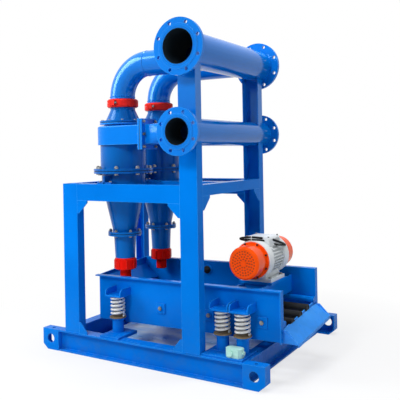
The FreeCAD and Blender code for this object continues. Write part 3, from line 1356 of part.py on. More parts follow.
def build_springs():
    coils = []
    pads = []
    pedestals = []
    for x, y, side in spring_places():
        coils.append(coil(x, y))
        low = "spring_low - pad_t - seat_gap"
        pads.append(rod("pad_r", "pad_t", from_corner(x, y, low)))
        foot = "rail_hgt + seat_t"
        pedestals.append(lathe([
            ("0", "0"), ("pedestal_r", "0"), ("pedestal_r", f"{low} - ({foot}) - pedestal_cap_t"),
            ("pedestal_cap_r", f"{low} - ({foot}) - pedestal_cap_t"), ("pedestal_cap_r", f"{low} - ({foot})"),
            ("0", f"{low} - ({foot})"),
        ], from_corner(x, y, foot)))
    node("coil_springs", group(coils))
    node("spring_pads", group(pads))
    node("spring_pedestals", group(pedestals))
    seats = []
    for left, right in (("spring_x_1 - 52", "spring_x_1 + 100"), (PAST_POST, "spring_x_3 + 56")):
        for side in (-1, 1):
            wide = f"({right}) - ({left})"
            deep = "seat_in - seat_out"
            y = "seat_out" if side < 0 else mirrored("seat_in")
            plate = box(*from_corner(left, y, "rail_hgt"), wide, deep, "seat_t")
            inner = RAIL_START if side < 0 else mirrored("seat_in")
            reach = f"seat_in - ({RAIL_START})" if side < 0 else f"{INNER_RAIL_Y} - ({mirrored('seat_in')})"
            limit = "skid_len - end_rail_set - rail_wid - 1"
            run = wide if left == "spring_x_1 - 52" else f"{limit} - ({left})"
            stub = prism([
                ("0", "0"), ("box_wall", "0"), ("box_wall", "stub_hgt - box_wall"),
                (run, "stub_hgt - box_wall"),
                (run, "stub_hgt"), ("0", "stub_hgt"),
            ], reach, from_corner(left, inner, "rail_hgt - stub_hgt"), role="XZ_Plane", reverse=True)
            seats.append(fuse([plate, stub]))
    node("spring_seats", group(seats))


# Vibration motor

TERMINAL_LEN = "case_len - 2*case_ring - 2*terminal_set"
TERMINAL_LOW = "motor_hgt + case_r - terminal_hgt/3"
# Points of the two motor cables over the end ring radius, the case length and the end ring radius again.
HEAVY_CABLE = (
    (-0.61, 0.2303, 0.925), (-0.71, 0.047, 1.083), (-0.417, 0.007, 1.15), (-0.083, 0.087, 1.158),
    (0.292, 0.242, 1.083), (0.667, 0.416, 0.975), (0.933, 0.651, 0.75), (0.9, 0.879, 0.567),
    (0.817, 0.953, 0.517),
)
LIGHT_CABLE = (
    (-0.508, 0.2303, 0.9), (-0.475, 0.087, 1.017), (-0.125, 0.054, 1.042), (0.25, 0.154, 1.008),
    (0.542, 0.332, 0.883), (0.767, 0.584, 0.658), (0.883, 0.792, 0.583), (0.8, 0.879, 0.533),
)


def cable(route, radius, start):
    """Round cable on a smooth curve through the points, from the motor's axis at the start of its case."""
    across = value("case_end_r")
    along = value("case_len")
    curve = Part.BSplineCurve()
    curve.interpolate([FreeCAD.Vector(x * across, y * along, z * across) for x, y, z in route])
    wire = Part.Wire([curve.toShape()])
    first = wire.Edges[0]
    ring = Part.Wire([Part.makeCircle(value(radius), first.valueAt(0), first.tangentAt(0))])
    thing = doc.addObject("Part::Feature", "Cable")
    thing.Shape = wire.makePipeShell([ring], True, True)
    return place(thing, from_corner("motor_x", start, "motor_hgt"))


def build_motor():
    start = "motor_y + cap_len"
    ends = "case_ring"
    case = lathe([
        ("shaft_r + running_gap", "0"), ("case_end_r", "0"), ("case_end_r", ends), ("case_r", ends),
        ("case_r", f"case_len - {ends}"), ("case_end_r", f"case_len - {ends}"), ("case_end_r", "case_len"),
        ("shaft_r + running_gap", "case_len"),
    ], from_corner("motor_x", start, "motor_hgt"), AXIS_TO_Y)
    half = "motor_foot_wid/2"
    leg = f"{half} - motor_foot_edge"
    leg_top = "motor_up - case_r/2"
    foot_start = f"{start} + (case_len - motor_foot_len)/2"
    foot = prism([
        (f"-{half}", "0"), (half, "0"), (half, "motor_foot_t"), (leg, "motor_foot_t"),
        (f"{leg} - 6", leg_top), (f"6 - ({leg})", leg_top), (f"-({leg})", "motor_foot_t"),
        (f"-{half}", "motor_foot_t"),
    ], "motor_foot_len", from_corner("motor_x", foot_start, "motor_hgt - motor_up"), role="XZ_Plane", reverse=True)
    holes = []
    for x in (f"motor_x - {half} + motor_foot_edge/2", f"motor_x + {half} - motor_foot_edge/2"):
        for y in (f"{foot_start} + foot_bolt_in", f"{foot_start} + motor_foot_len - foot_bolt_in"):
            holes.append(rod("small_bolt_r + bolt_clear", "motor_foot_t", from_corner(x, y, "motor_hgt - motor_up")))
            at = from_corner(x, y, "motor_hgt - motor_up + motor_foot_t")
            BOX_BOLTS.append(screw("small_bolt_r", "motor_foot_t", at))
    fins = []
    rows = int(value("fin_rows"))
    for number in range(-rows, rows + 1):
        at = from_corner("motor_x - fin_r", f"{start} + {ends}", f"motor_hgt + {number}*fin_pitch - fin_t/2")
        fins.append(box(*at, "2*fin_r", f"case_len - 2*{ends}", "fin_t"))
    rounded = doc.addObject("Part::Common", "Fins")
    rounded.Base = group(fins)
    rounded.Tool = rod("fin_r", "case_len", from_corner("motor_x", start, "motor_hgt"), AXIS_TO_Y)
    core = rod("case_r - 6", "case_len", from_corner("motor_x", start, "motor_hgt"), AXIS_TO_Y)
    node("motor_case", fuse([case, cut(foot, group(holes + [core])), cut(rounded, core)]))
    caps = []
    for face, turn in (("motor_y", AXIS_TO_Y), ("motor_y + 2*cap_len + case_len", [(X_AXIS, 90)])):
        caps.append(lathe([
            ("0", "0"), ("cap_r - 12", "0"), ("cap_r", "10"), ("cap_r + 2", "cap_len - 12"),
            ("cap_rim_r", "cap_len - 12"), ("cap_rim_r", "cap_len - seat_gap"),
            ("cap_r - cap_wall", "cap_len - seat_gap"),
            ("cap_r - cap_wall", "12"), ("cap_r - 14", "cap_wall"), ("0", "cap_wall"),
        ], from_corner("motor_x", face, "motor_hgt"), turn))
    node("motor_caps", group(caps))
    terminal = prism([
        ("-terminal_wid/2", "0"), ("terminal_wid/2", "0"), ("terminal_wid/2", "terminal_hgt - 12"),
        ("terminal_wid/2 - 12", "terminal_hgt"), ("12 - terminal_wid/2", "terminal_hgt"),
        ("-terminal_wid/2", "terminal_hgt - 12"),
    ], TERMINAL_LEN, from_corner("motor_x", f"{start} + {ends} + terminal_set", TERMINAL_LOW),
        role="XZ_Plane", reverse=True)
    saddle = rod("case_r + seat_gap", "case_len", from_corner("motor_x", start, "motor_hgt"), AXIS_TO_Y)
    node("terminal_box", cut(terminal, saddle))
    bells = [
        rod("case_end_r + seat_gap", ends, from_corner("motor_x", y, "motor_hgt"), AXIS_TO_Y)
        for y in (start, f"{start} + case_len - {ends}")
    ]
    node("motor_cables", cut(group([
        cable(HEAVY_CABLE, "cable_r", start), cable(LIGHT_CABLE, "cable_r - 2", start),
    ]), group(bells + [terminal])))
    at = from_corner("motor_x", "motor_y + 12", "motor_hgt")
    shaft = rod("shaft_r", "case_len + 2*cap_len - 24", at, AXIS_TO_Y)
    weights = []
    for y in ("motor_y + 30", "motor_y + 2*cap_len + case_len - 30 - weight_t"):
        weights.append(prism([
            ("-weight_r", "0", "0", "0", 1), ("weight_r", "0"), ("shaft_r + 10", "shaft_r + 14"),
            ("-shaft_r - 10", "shaft_r + 14"),
        ], "weight_t", from_corner("motor_x", y, "motor_hgt"), role="XZ_Plane", reverse=True))
    at = from_corner("motor_x", "motor_y", "motor_hgt")
    hub = rod("shaft_r + seat_gap", "case_len + 2*cap_len", at, AXIS_TO_Y)
    node("motor_shaft", shaft)
    node("eccentric_weights", cut(group(weights), hub))


def build_junction_box():
    """Box with cut corners, a round boss in front and a cable gland on its right."""
    far_x = "jbox_wid - jbox_cut"
    far_y = "jbox_dep - jbox_cut"
    case = prism([
        ("jbox_cut", "0"), (far_x, "0"), ("jbox_wid", "jbox_cut"), ("jbox_wid", far_y), (far_x, "jbox_dep"),
        ("jbox_cut", "jbox_dep"), ("0", far_y), ("0", "jbox_cut"),
    ], "jbox_hgt", from_corner("jbox_x", "jbox_y", "rail_hgt + seat_t"), role="XY_Plane")
    middle = "rail_hgt + seat_t + jbox_hgt/2"
    boss = rod("boss_r", "gland_len", from_corner("jbox_x + jbox_wid/3", "jbox_y - 8", middle), AXIS_TO_Y)
    at = from_corner("jbox_x + jbox_wid - gland_len/2", "jbox_y + jbox_dep/2", middle)
    gland = rod("gland_r", "gland_len", at, [(Y_AXIS, 90)])
    node("junction_box", fuse([case, boss, gland]))


build_skid()
build_frame()
build_pipes()
build_cyclones()
build_screen_box()
build_springs()
build_motor()
node("box_bolts", group(BOX_BOLTS))
build_junction_box()
doc.recompute()

for thing in doc.Objects:
    if "Invalid" in thing.State or "Error" in thing.State:
        raise ValueError(thing.Label + " has failed")
for name, thing in NODES.items():
    if thing.Shape.isNull() or not thing.Shape.isValid():
        raise ValueError(name + " has no valid shape")

os.makedirs("parts", exist_ok=True)
for name, thing in NODES.items():
    thing.Shape.exportStep(f"parts/{name}.step")
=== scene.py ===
import json
import math

import bmesh
import bpy
from mathutils import Matrix, Vector


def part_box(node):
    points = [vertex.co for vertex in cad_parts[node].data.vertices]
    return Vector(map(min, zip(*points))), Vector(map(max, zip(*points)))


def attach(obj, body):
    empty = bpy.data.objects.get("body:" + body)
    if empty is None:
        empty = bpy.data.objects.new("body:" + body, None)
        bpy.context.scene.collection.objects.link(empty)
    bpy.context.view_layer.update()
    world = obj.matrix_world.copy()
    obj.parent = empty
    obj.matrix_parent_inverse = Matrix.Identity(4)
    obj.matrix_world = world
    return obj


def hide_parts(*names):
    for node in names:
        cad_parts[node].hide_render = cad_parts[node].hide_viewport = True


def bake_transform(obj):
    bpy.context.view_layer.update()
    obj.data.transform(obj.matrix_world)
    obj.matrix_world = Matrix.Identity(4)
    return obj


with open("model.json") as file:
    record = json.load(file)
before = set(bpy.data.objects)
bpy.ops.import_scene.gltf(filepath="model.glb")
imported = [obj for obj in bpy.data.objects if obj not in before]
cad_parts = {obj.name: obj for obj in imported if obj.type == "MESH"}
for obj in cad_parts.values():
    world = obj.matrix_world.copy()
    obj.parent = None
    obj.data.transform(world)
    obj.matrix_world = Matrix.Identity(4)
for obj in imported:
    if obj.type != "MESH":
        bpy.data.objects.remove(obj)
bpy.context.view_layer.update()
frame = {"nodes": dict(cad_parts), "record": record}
NODES = frame["nodes"]
SLOTS = {part["node"]: part["material_slot"] for part in frame["record"]["subparts"]}

# Places on the part, in millimetres from the skid's front left corner as in the part's source

# The frame's origin
MIDDLE_X = 906.5
MIDDLE_Y = 573.0

# The outlet header and the inlet manifold, which are level pipes along Y, and the elbows
PIPE_X = 1207.0
OUTLET_Z = 1964.0
INLET_Z = 1465.0
OUTLET_R = 109.6
INLET_R = 84.2
ELBOW_R = 84.2
OUTLET_BORE = 104.5
INLET_BORE = 80.5

CYCLONE_X = 537.0
CYCLONE_Y = (248.0, 682.0)

# The front posts on the front rail
POST_LEFTS = (205.0, 1145.0)
POST_WIDTH = 124.0
RAIL_TOP = 143.0

# The motor's middle, and its caps: where the outer face lies along Y and which way it looks
MOTOR_X = 1465.0
MOTOR_Y = 475.0
MOTOR_Z = 667.0
CAP_FACES = ((202.0, -1), (748.0, 1))

ALONG_X = (1, 0, 0)
ALONG_Y = (0, 1, 0)
ALONG_Z = (0, 0, 1)


def spot(x, y, z):
    """A place counted from the skid's corner, in metres in the frame."""
    return Vector(((x - MIDDLE_X) / 1000, (y - MIDDLE_Y) / 1000, z / 1000))


# Camera

# Worked out from the flanges and the skid's corners in the photo: the place in millimetres, the
# turns in degrees, and the focal length and the horizon's row in the photo's pixels
CAMERA_AT = (3109.7, -3045.7, 1340.6)
CAMERA_YAW = 30.78
CAMERA_ROLL = -1.014
FOCAL_PX = 603.76
HORIZON_ROW = 152.5
PHOTO_PX = 400
SENSOR_MM = 36.0
CLIP_END = 100


def add_camera():
    data = bpy.data.cameras.new("camera")
    data.sensor_width = SENSOR_MM
    data.lens = FOCAL_PX / PHOTO_PX * SENSOR_MM
    data.shift_y = (HORIZON_ROW - PHOTO_PX / 2) / PHOTO_PX
    data.clip_end = CLIP_END
    camera = bpy.data.objects.new("camera", data)
    yaw = Matrix.Rotation(math.radians(CAMERA_YAW), 4, "Z")
    level = yaw @ Matrix.Rotation(math.radians(90), 4, "X")
    roll = Matrix.Rotation(math.radians(CAMERA_ROLL), 4, "Z")
    camera.matrix_world = Matrix.Translation(spot(*CAMERA_AT)) @ level @ roll
    bpy.context.scene.collection.objects.link(camera)
    bpy.context.scene.camera = camera


# Shader nodes

# The colour sockets of a mix node, which share their names with its other sockets
MIX_FACTOR = 0
MIX_FIRST = 6
MIX_SECOND = 7
MIX_RESULT = 2


class Graph:
    """A shader node tree, with short calls for its nodes."""

    def __init__(self, tree):
        self.nodes = tree.nodes
        self.links = tree.links

    def feed(self, source, socket):
        """Link another node's output to the socket, or set a constant on it."""
        if isinstance(source, bpy.types.NodeSocket):
            self.links.new(source, socket)
        else:
            socket.default_value = source

    def add(self, kind, sources, operation=None):
        """A new node, whose sources are an output or a constant for each input socket."""
        node = self.nodes.new(kind)
        if operation:
            node.operation = operation
        for socket, source in sources.items():
            self.feed(source, node.inputs[socket])
        return node

    def math(self, operation, first, second):
        return self.add("ShaderNodeMath", {0: first, 1: second}, operation).outputs[0]

    def seen(self):
        """One where a ray comes from the camera, a glossy surface or glass."""
        path = self.nodes.new("ShaderNodeLightPath")
        total = path.outputs["Is Camera Ray"]
        for kind in ("Is Glossy Ray", "Is Transmission Ray"):
            node = self.add("ShaderNodeMath", {0: total, 1: path.outputs[kind]}, "ADD")
            node.use_clamp = True
            total = node.outputs[0]
        return total


class Surface(Graph):
    """A material, with the steps that the recipes below share."""

    def __init__(self, name):
        self.material = bpy.data.materials.new(name)
        self.material.use_nodes = True
        super().__init__(self.material.node_tree)
        self.shader = self.nodes["Principled BSDF"]
        self.place = self.nodes.new("ShaderNodeTexCoord").outputs["Object"]

    def set(self, name, source):
        """Feed one of the shader's own sockets."""
        self.feed(source, self.shader.inputs[name])

    def noise(self, scale, detail=3.0, rough=0.55, stretch=None):
        """Noise with about scale grains to the metre, packed more closely along stretched axes."""
        place = self.place
        if stretch:
            place = self.add("ShaderNodeMapping", {"Scale": stretch, "Vector": place}).outputs[0]
        return self.add("ShaderNodeTexNoise", {
            "Scale": scale, "Detail": detail, "Roughness": rough, "Vector": place,
        }).outputs["Fac"]

    def ramp(self, value, low, high, start=0.0, end=1.0):
        """From start, where the value is low, to end, where it is high."""
        return self.add("ShaderNodeMapRange", {
            "From Min": low, "From Max": high, "To Min": start, "To Max": end, "Value": value,
        }).outputs["Result"]

    def mix(self, factor, first, second):
        """The first colour where the factor is 0, and the second where it is 1."""
        node = self.nodes.new("ShaderNodeMix")
        node.data_type = "RGBA"
        self.feed(factor, node.inputs[MIX_FACTOR])
        self.feed(first, node.inputs[MIX_FIRST])
        self.feed(second, node.inputs[MIX_SECOND])
        return node.outputs[MIX_RESULT]

    def axes(self):
        """The place as outputs named X, Y and Z, in metres."""
        return self.add("ShaderNodeSeparateXYZ", {0: self.place}).outputs

    def bevel(self, radius, samples):
        """The normal, turning over each edge as if it had a radius, in metres."""
        node = self.add("ShaderNodeBevel", {"Radius": radius})
        node.samples = samples
        return node.outputs[0]

    def bump(self, height, strength, distance, radius):
        """Bump on the surface and its rounded edges; distance and radius are in metres."""
        sources = {"Strength": strength, "Distance": distance, "Height": height}
        if radius:
            sources["Normal"] = self.bevel(radius, samples=4)
        self.set("Normal", self.add("ShaderNodeBump", sources).outputs[0])

    def inside(self, x, z, radius):
        """One inside a level pipe along Y about the axis (x, z), in metres."""
        axes = self.axes()
        across = self.math("SUBTRACT", axes["X"], x)
        up = self.math("SUBTRACT", axes["Z"], z)
        across_square = self.math("MULTIPLY", across, across)
        up_square = self.math("MULTIPLY", up, up)
        square = self.math("ADD", across_square, up_square)
        return self.math("LESS_THAN", square, radius * radius)

    def edge(self, radius):
        """One along sharp edges, where a lighter colour is painted on as a highlight."""
        normals = {
            0: self.bevel(radius, samples=6),
            1: self.nodes.new("ShaderNodeNewGeometry").outputs["Normal"],
        }
        likeness = self.add("ShaderNodeVectorMath", normals, "DOT_PRODUCT").outputs["Value"]
        return self.ramp(likeness, 0.985, 0.86)

    def grime(self):
        """Patches that grow towards the ground, from 0 at GRIME_TOP metres up."""
        low = self.ramp(self.axes()["Z"], GRIME_TOP, 0.0)
        patches = self.ramp(self.noise(9, detail=6, rough=0.7), 0.42, 0.7)
        return self.math("MULTIPLY", low, patches)


# Light

WHITE_LIGHT = (1, 1, 1, 1)
SKY_LIGHT = (0.93, 0.96, 1.0, 1)
SKY_STRENGTH = 0.13

# Name, place, target and size in metres, and power in watts
LAMPS = (
    ("key", (-0.3, -4.7, 4.2), (0, 0, 1.0), (1.3, 1.3), 140),
    ("fill", (4.2, -1.8, 2.6), (0, 0, 0.9), (1.0, 2.0), 34),
    ("top", (0.7, 0.2, 5.0), (0, 0, 1.0), (1.2, 3.0), 150),
    ("softbox", (-2.7, -2.1, 3.1), (0, -0.2, 1.5), (1.6, 2.4), 118),
)

# The floor turns into the background between two distances from the middle, in metres, and the
# glow is the share of plain white at each of them
FLOOR_HALF = 40.0
FLOOR_GREY = (0.80, 0.81, 0.83, 1)
FLOOR_ROUGH = 0.95
FLOOR_FADE = (0.9, 2.1)
FLOOR_GLOW = (0.70, 1.0)


def add_area(name, at, target, size, power):
    data = bpy.data.lights.new(name, "AREA")
    data.shape = "RECTANGLE"
    data.size, data.size_y = size
    data.energy = power
    lamp = bpy.data.objects.new(name, data)
    lamp.location = at
    lamp.rotation_euler = (Vector(target) - Vector(at)).to_track_quat("-Z", "Y").to_euler()
    bpy.context.scene.collection.objects.link(lamp)


def add_world():
    """Plain white where it is seen, and a faint sky for the rays that only bring light."""
    world = bpy.data.worlds.new("world")
    bpy.context.scene.world = world
    world.use_nodes = True
    graph = Graph(world.node_tree)
    graph.nodes.clear()
    sky = graph.add("ShaderNodeBackground", {"Color": SKY_LIGHT, "Strength": SKY_STRENGTH})
    white = graph.add("ShaderNodeBackground", {"Color": WHITE_LIGHT, "Strength": 1.0})
    mix = graph.add("ShaderNodeMixShader", {
        0: graph.seen(), 1: sky.outputs[0], 2: white.outputs[0],
    })
    graph.add("ShaderNodeOutputWorld", {0: mix.outputs[0]})


def add_floor():
    """Pale floor that keeps the shadow, and fades into the white background further out."""
    mesh = bpy.data.meshes.new("floor")
    half = FLOOR_HALF
    corners = [(-half, -half, 0), (half, -half, 0), (half, half, 0), (-half, half, 0)]
    mesh.from_pydata(corners, [], [(0, 1, 2, 3)])
    floor = bpy.data.objects.new("floor", mesh)
    bpy.context.scene.collection.objects.link(floor)
    s = Surface("floor")
    s.set("Base Color", FLOOR_GREY)
    s.set("Roughness", FLOOR_ROUGH)
    s.set("Specular IOR Level", 0.0)
    away = s.add("ShaderNodeVectorMath", {0: s.place}, "LENGTH").outputs["Value"]
    glow = s.add("ShaderNodeEmission", {"Color": WHITE_LIGHT})
    share = s.math("MULTIPLY", s.ramp(away, *FLOOR_FADE, *FLOOR_GLOW), s.seen())
    mix = s.add("ShaderNodeMixShader", {
        0: share, 1: s.shader.outputs[0], 2: glow.outputs[0],
    })
    s.feed(mix.outputs[0], s.nodes["Material Output"].inputs["Surface"])
    mesh.materials.append(s.material)


# Finishes

def linear(red, green, blue):
    """A colour written as 0 to 255, in the renderer's linear scale."""
    parts = []
    for part in (red, green, blue):
        part = part / 255
        parts.append(part / 12.92 if part <= 0.04045 else ((part + 0.055) / 1.055) ** 2.4)
    return (*parts, 1)


def tones(*colors):
    return tuple(linear(*color) for color in colors)


# Each paint has a plain colour, one for its clouds and one for its worn specks and its painted
# edge highlights
AZURE = tones((0, 121, 222), (0, 111, 208), (84, 186, 255))
# The same azure painted darker as shade: for the pipes, and darker still for the cyclones' shells
SHADED_AZURE = tones((0, 112, 208), (0, 102, 192), (34, 142, 228))
DEEPLY_SHADED_AZURE = tones((0, 100, 184), (0, 88, 166), (30, 130, 214))
WORN = tones((66, 162, 252), (50, 142, 238), (140, 206, 255))
SIGNAL_RED = tones((255, 52, 44), (236, 36, 30), (255, 104, 86))
SIGNAL_ORANGE = tones((255, 82, 2), (250, 70, 0), (255, 108, 24))
MOTOR_GREY = tones((236, 240, 241), (214, 220, 223), (252, 253, 254))
SPRING_WHITE = tones((232, 232, 228), (206, 207, 204), (244, 244, 242))
CAST_RED = tones((240, 24, 16), (208, 14, 10), (255, 70, 56))
DUST = linear(70, 96, 124)

# Tints of the reflections on blue, on warm and on pale paint
SKY = (0.26, 0.64, 1.0, 1)
FLAME = (1.0, 0.5, 0.22, 1)
PLAIN = (1.0, 1.0, 1.0, 1)

# Share of the worn colour painted along edges as a highlight, height that dust reaches in
# metres, and the roughness that full dust adds
EDGE_HIGHLIGHT_SHARE = 0.55
GRIME_TOP = 0.45
DUST_ROUGH = 0.5

# A pipe with painted shade. Its tube, as far as TUBE_WALL from the bore, is painted deeper in
# colour than its flanges as shade, and its bore is painted dark as shade. Each seam has its
# distance from the bore and its share of the seam's colour.
TUBE_WALL = 0.006
TUBE_SHADE_SHARE = 0.6
SEAMS = ((0.0115, 0.55), (0.0035, 0.25))
SEAM_WIDTH = 0.002
SEAM = linear(0, 34, 84)
# Dark colour painted inside the bore as shade, and the roughness added there
BORE_SHADE = linear(22, 28, 33)
BORE_ROUGH = 0.55

# Buckles of the drip pan and its painted patches of reflected light, closer along its depth
PAN_STRETCH = (1.0, 2.2, 1.0)


def mouth(height, bore):
    """Axis (x, z) and bore radius of a level pipe, in metres."""
    return spot(PIPE_X, 0, 0).x, height / 1000, bore / 1000


def shade_pipe_mouth(s, pipe, tone, roughness):
    """The tone and roughness of a pipe with seams around its mouth, its tube painted deeper as
    shade, and its bore painted dark as shade and made rougher.
    """
    x, z, bore = pipe
    bore_shade_mask = s.inside(x, z, bore)
    # Painted shade: the tube in a deeper blue than its flanges
    tube = s.math("MULTIPLY", s.inside(x, z, bore + TUBE_WALL), TUBE_SHADE_SHARE)
    tone = s.mix(tube, tone, DEEPLY_SHADED_AZURE[0])
    for step, share in SEAMS:
        outer = s.inside(x, z, bore + step)
        inner = s.inside(x, z, bore + step - SEAM_WIDTH)
        seam = s.math("SUBTRACT", outer, inner)
        tone = s.mix(s.math("MULTIPLY", seam, share), tone, SEAM)
    # Painted shade: the bore dark inside
    tone = s.mix(bore_shade_mask, tone, BORE_SHADE)
    return tone, s.math("ADD", roughness, s.math("MULTIPLY", bore_shade_mask, BORE_ROUGH))


def paint(name, colors, rough=0.2, radius=0.0015, dirt=0.3, shine=0.05, tint=SKY, pipe=None):
    """Sprayed enamel: slight orange peel, uneven gloss, cloudy tone, dust low down and painted
    edge highlights.

    radius is that of the edges in metres, and pipe is the mouth of a pipe whose tube and bore are
    painted with shade.
    """
    plain, cloud, worn_and_highlight = colors
    s = Surface(name)
    tone = s.mix(s.ramp(s.noise(1.6), 0.35, 0.65), plain, cloud)
    specks = s.ramp(s.noise(30, detail=5, rough=0.7), 0.6, 0.8, 0, 0.08)
    tone = s.mix(specks, tone, worn_and_highlight)
    if radius:
        # Painted highlight: the worn colour laid along sharp edges
        tone = s.mix(s.math("MULTIPLY", s.edge(radius * 2), EDGE_HIGHLIGHT_SHARE), tone, worn_and_highlight)
    dust = s.math("MULTIPLY", s.grime(), dirt)
    tone = s.mix(dust, tone, DUST)
    coat = s.ramp(s.noise(18, detail=4, rough=0.6), 0.3, 0.75, rough - 0.05, rough + 0.1)
    roughness = s.math("ADD", coat, s.math("MULTIPLY", dust, DUST_ROUGH))
    if pipe:
        tone, roughness = shade_pipe_mouth(s, pipe, tone, roughness)
    s.set("Base Color", tone)
    s.set("Roughness", roughness)
    s.set("Specular IOR Level", shine)
    s.set("Specular Tint", tint)
    s.bump(s.noise(420, detail=2, rough=0.5), strength=0.03, distance=0.0005, radius=radius)
    return s.material


def bare_metal(name, color, dark, rough, stretch=None):
    """Steel without paint, stained and scratched."""
    s = Surface(name)
    stains = s.noise(60, detail=6, rough=0.7, stretch=stretch)
    wear = s.noise(140, detail=4, rough=0.6, stretch=stretch)
    scratches = s.noise(500, detail=3, rough=0.6, stretch=stretch)
    s.set("Metallic", 1.0)
    s.set("Base Color", s.mix(s.ramp(stains, 0.4, 0.68), color, dark))
    s.set("Roughness", s.ramp(wear, 0.3, 0.7, rough - 0.1, rough + 0.14))
    s.bump(scratches, strength=0.12, distance=0.0004, radius=0.0007)
    return s.material


def wavy_sheet():
    """Thin buckled sheet, painted pale blue in patches of light and dark as reflections, with
    specks of dust.
    """
    s = Surface("pan_sheet")
    waves_and_painted_reflections = s.noise(2.6, rough=0.5, stretch=PAN_STRETCH)
    # Painted reflections: pale blue patches of light and dark
    tone = s.mix(s.ramp(waves_and_painted_reflections, 0.38, 0.62), linear(136, 200, 255), linear(236, 247, 255))
    specks = s.ramp(s.noise(60, detail=5, rough=0.7), 0.5, 0.75, 0, 0.15)
    s.set("Base Color", s.mix(specks, tone, linear(150, 182, 210)))
    s.set("Metallic", 0.1)
    s.set("Roughness", s.ramp(waves_and_painted_reflections, 0.3, 0.7, 0.22, 0.4))
    buckles = s.noise(7, rough=0.5, stretch=PAN_STRETCH)
    s.bump(buckles, strength=0.25, distance=0.008, radius=0.001)
    return s.material


def rubber(name, color, dust_color):
    s = Surface(name)
    dust = s.ramp(s.noise(30, detail=6, rough=0.7), 0.5, 0.75, 0, 0.6)
    s.set("Base Color", s.mix(dust, color, dust_color))
    s.set("Roughness", s.ramp(s.noise(90, detail=4), 0.3, 0.7, 0.54, 0.77))
    s.set("Specular IOR Level", 0.2)
    s.bump(s.noise(700, rough=0.7), strength=0.18, distance=0.0005, radius=0.001)
    return s.material


def plastic(name, color, shade):
    s = Surface(name)
    clouds = s.ramp(s.noise(14, detail=5, rough=0.65), 0.45, 0.7)
    s.set("Base Color", s.mix(clouds, color, shade))
    s.set("Roughness", s.ramp(s.noise(60, detail=4), 0.3, 0.7, 0.33, 0.5))
    s.bump(s.noise(380, detail=2, rough=0.6), strength=0.1, distance=0.0004, radius=0.0016)
    return s.material


BLUE = paint("blue_enamel", AZURE)
# Pipes and cyclone shells in azure painted darker as shade
SHADED_PIPE_BLUE = paint("shaded_pipe_enamel", SHADED_AZURE, rough=0.13, radius=0, shine=0.8)
SHADED_SHELL_BLUE = paint("shaded_shell_enamel", DEEPLY_SHADED_AZURE, rough=0.16, radius=0.001, shine=0.3)
HEAD_BLUE = paint("head_enamel", AZURE, rough=0.16, radius=0.004, shine=0.2)
OUTLET_BLUE = paint(
    "outlet_enamel", AZURE, rough=0.14, shine=0.45, pipe=mouth(OUTLET_Z, OUTLET_BORE),
)
INLET_BLUE = paint("inlet_enamel", AZURE, rough=0.14, shine=0.45, pipe=mouth(INLET_Z, INLET_BORE))
LIP = paint("worn_enamel", WORN, rough=0.3, radius=0.001, dirt=0.6)
RED = paint("red_enamel", SIGNAL_RED, rough=0.24, radius=0.0012, dirt=0.1, tint=FLAME)
ORANGE = paint(
    "orange_enamel", SIGNAL_ORANGE, rough=0.18, radius=0.002, dirt=0.1, shine=0.4, tint=FLAME,
)
GREY = paint("grey_enamel", MOTOR_GREY, rough=0.3, radius=0.001, dirt=0.2, tint=PLAIN)
WHITE = paint("white_enamel", SPRING_WHITE, rough=0.3, radius=0.001, dirt=0.1, tint=PLAIN)
MINT = plastic("mint_plastic", linear(172, 220, 208), linear(152, 204, 190))
BLACK = rubber("black_rubber", linear(20, 21, 23), linear(44, 46, 48))
SOOT = rubber("worn_rubber", linear(44, 46, 48), linear(86, 88, 90))
TAN = rubber("tan_rubber", linear(120, 104, 78), linear(150, 134, 104))
URETHANE = paint("red_polyurethane", CAST_RED, rough=0.26, radius=0.002, dirt=0.1, tint=FLAME)
ZINC = bare_metal("zinc_steel", linear(150, 152, 152), linear(84, 86, 86), 0.34)
STEEL = bare_metal("turned_steel", linear(150, 152, 154), linear(96, 98, 100), 0.3, (1, 12, 1))
PAN = wavy_sheet()

SLOT_MATERIALS = {
    "black_rubber": BLACK,
    "blue_paint": BLUE,
    "cast_steel": STEEL,
    "grey_paint": GREY,
    "mint_plastic": MINT,
    "orange_paint": ORANGE,
    "pan_sheet": PAN,
    "red_paint": RED,
    "red_polyurethane": URETHANE,
    "white_paint": WHITE,
    "zinc_steel": ZINC,
}

# Solids whose finish differs from the rest of their slot; the pipes and the cyclones' shells among
# them are painted darker as shade
NODE_MATERIALS = {
    "apex_cones": SHADED_SHELL_BLUE,
    "cyclone_barrels": SHADED_SHELL_BLUE,
    "cyclone_cone_1": SHADED_SHELL_BLUE,
    "cyclone_cone_2": SHADED_SHELL_BLUE,
    "discharge_lip": LIP,
    "feed_head_1": HEAD_BLUE,
    "feed_head_2": HEAD_BLUE,
    "header_stubs": SHADED_PIPE_BLUE,
    "inlet_manifold": INLET_BLUE,
    "inlet_transitions": HEAD_BLUE,
    "outlet_elbow_1": SHADED_PIPE_BLUE,
    "outlet_elbow_2": SHADED_PIPE_BLUE,
    "outlet_header": OUTLET_BLUE,
    "spring_pads": TAN,
    "top_covers": SHADED_SHELL_BLUE,
}


def dress_nodes():
    for name, thing in NODES.items():
        thing.data.materials.clear()
        thing.data.materials.append(NODE_MATERIALS.get(name, SLOT_MATERIALS[SLOTS[name]]))


# Pieces that the solids leave to the scene. Numbers given to spot or saddle are millimetres,
# and every other radius, bead and profile is in metres.

BEAD_SIDES = 8
BEAD_STEP = 0.004
# Turn of a weld's ripple from one ring of its bead to the next, in radians
RIPPLE_TURN = 2.4
# Shares by which a bead's radius swings: on pipes, on thin necks and on straight welds
PIPE_RIPPLE = 0.12
NECK_RIPPLE = 0.05
LINE_RIPPLE = 0.15


def circle(centre, side, up, radius, count, start=0.0):
    """Points on a circle in the plane of side and up."""
    angles = [start + 2 * math.pi * number / count for number in range(count)]
    return [centre + side * radius * math.cos(a) + up * radius * math.sin(a) for a in angles]


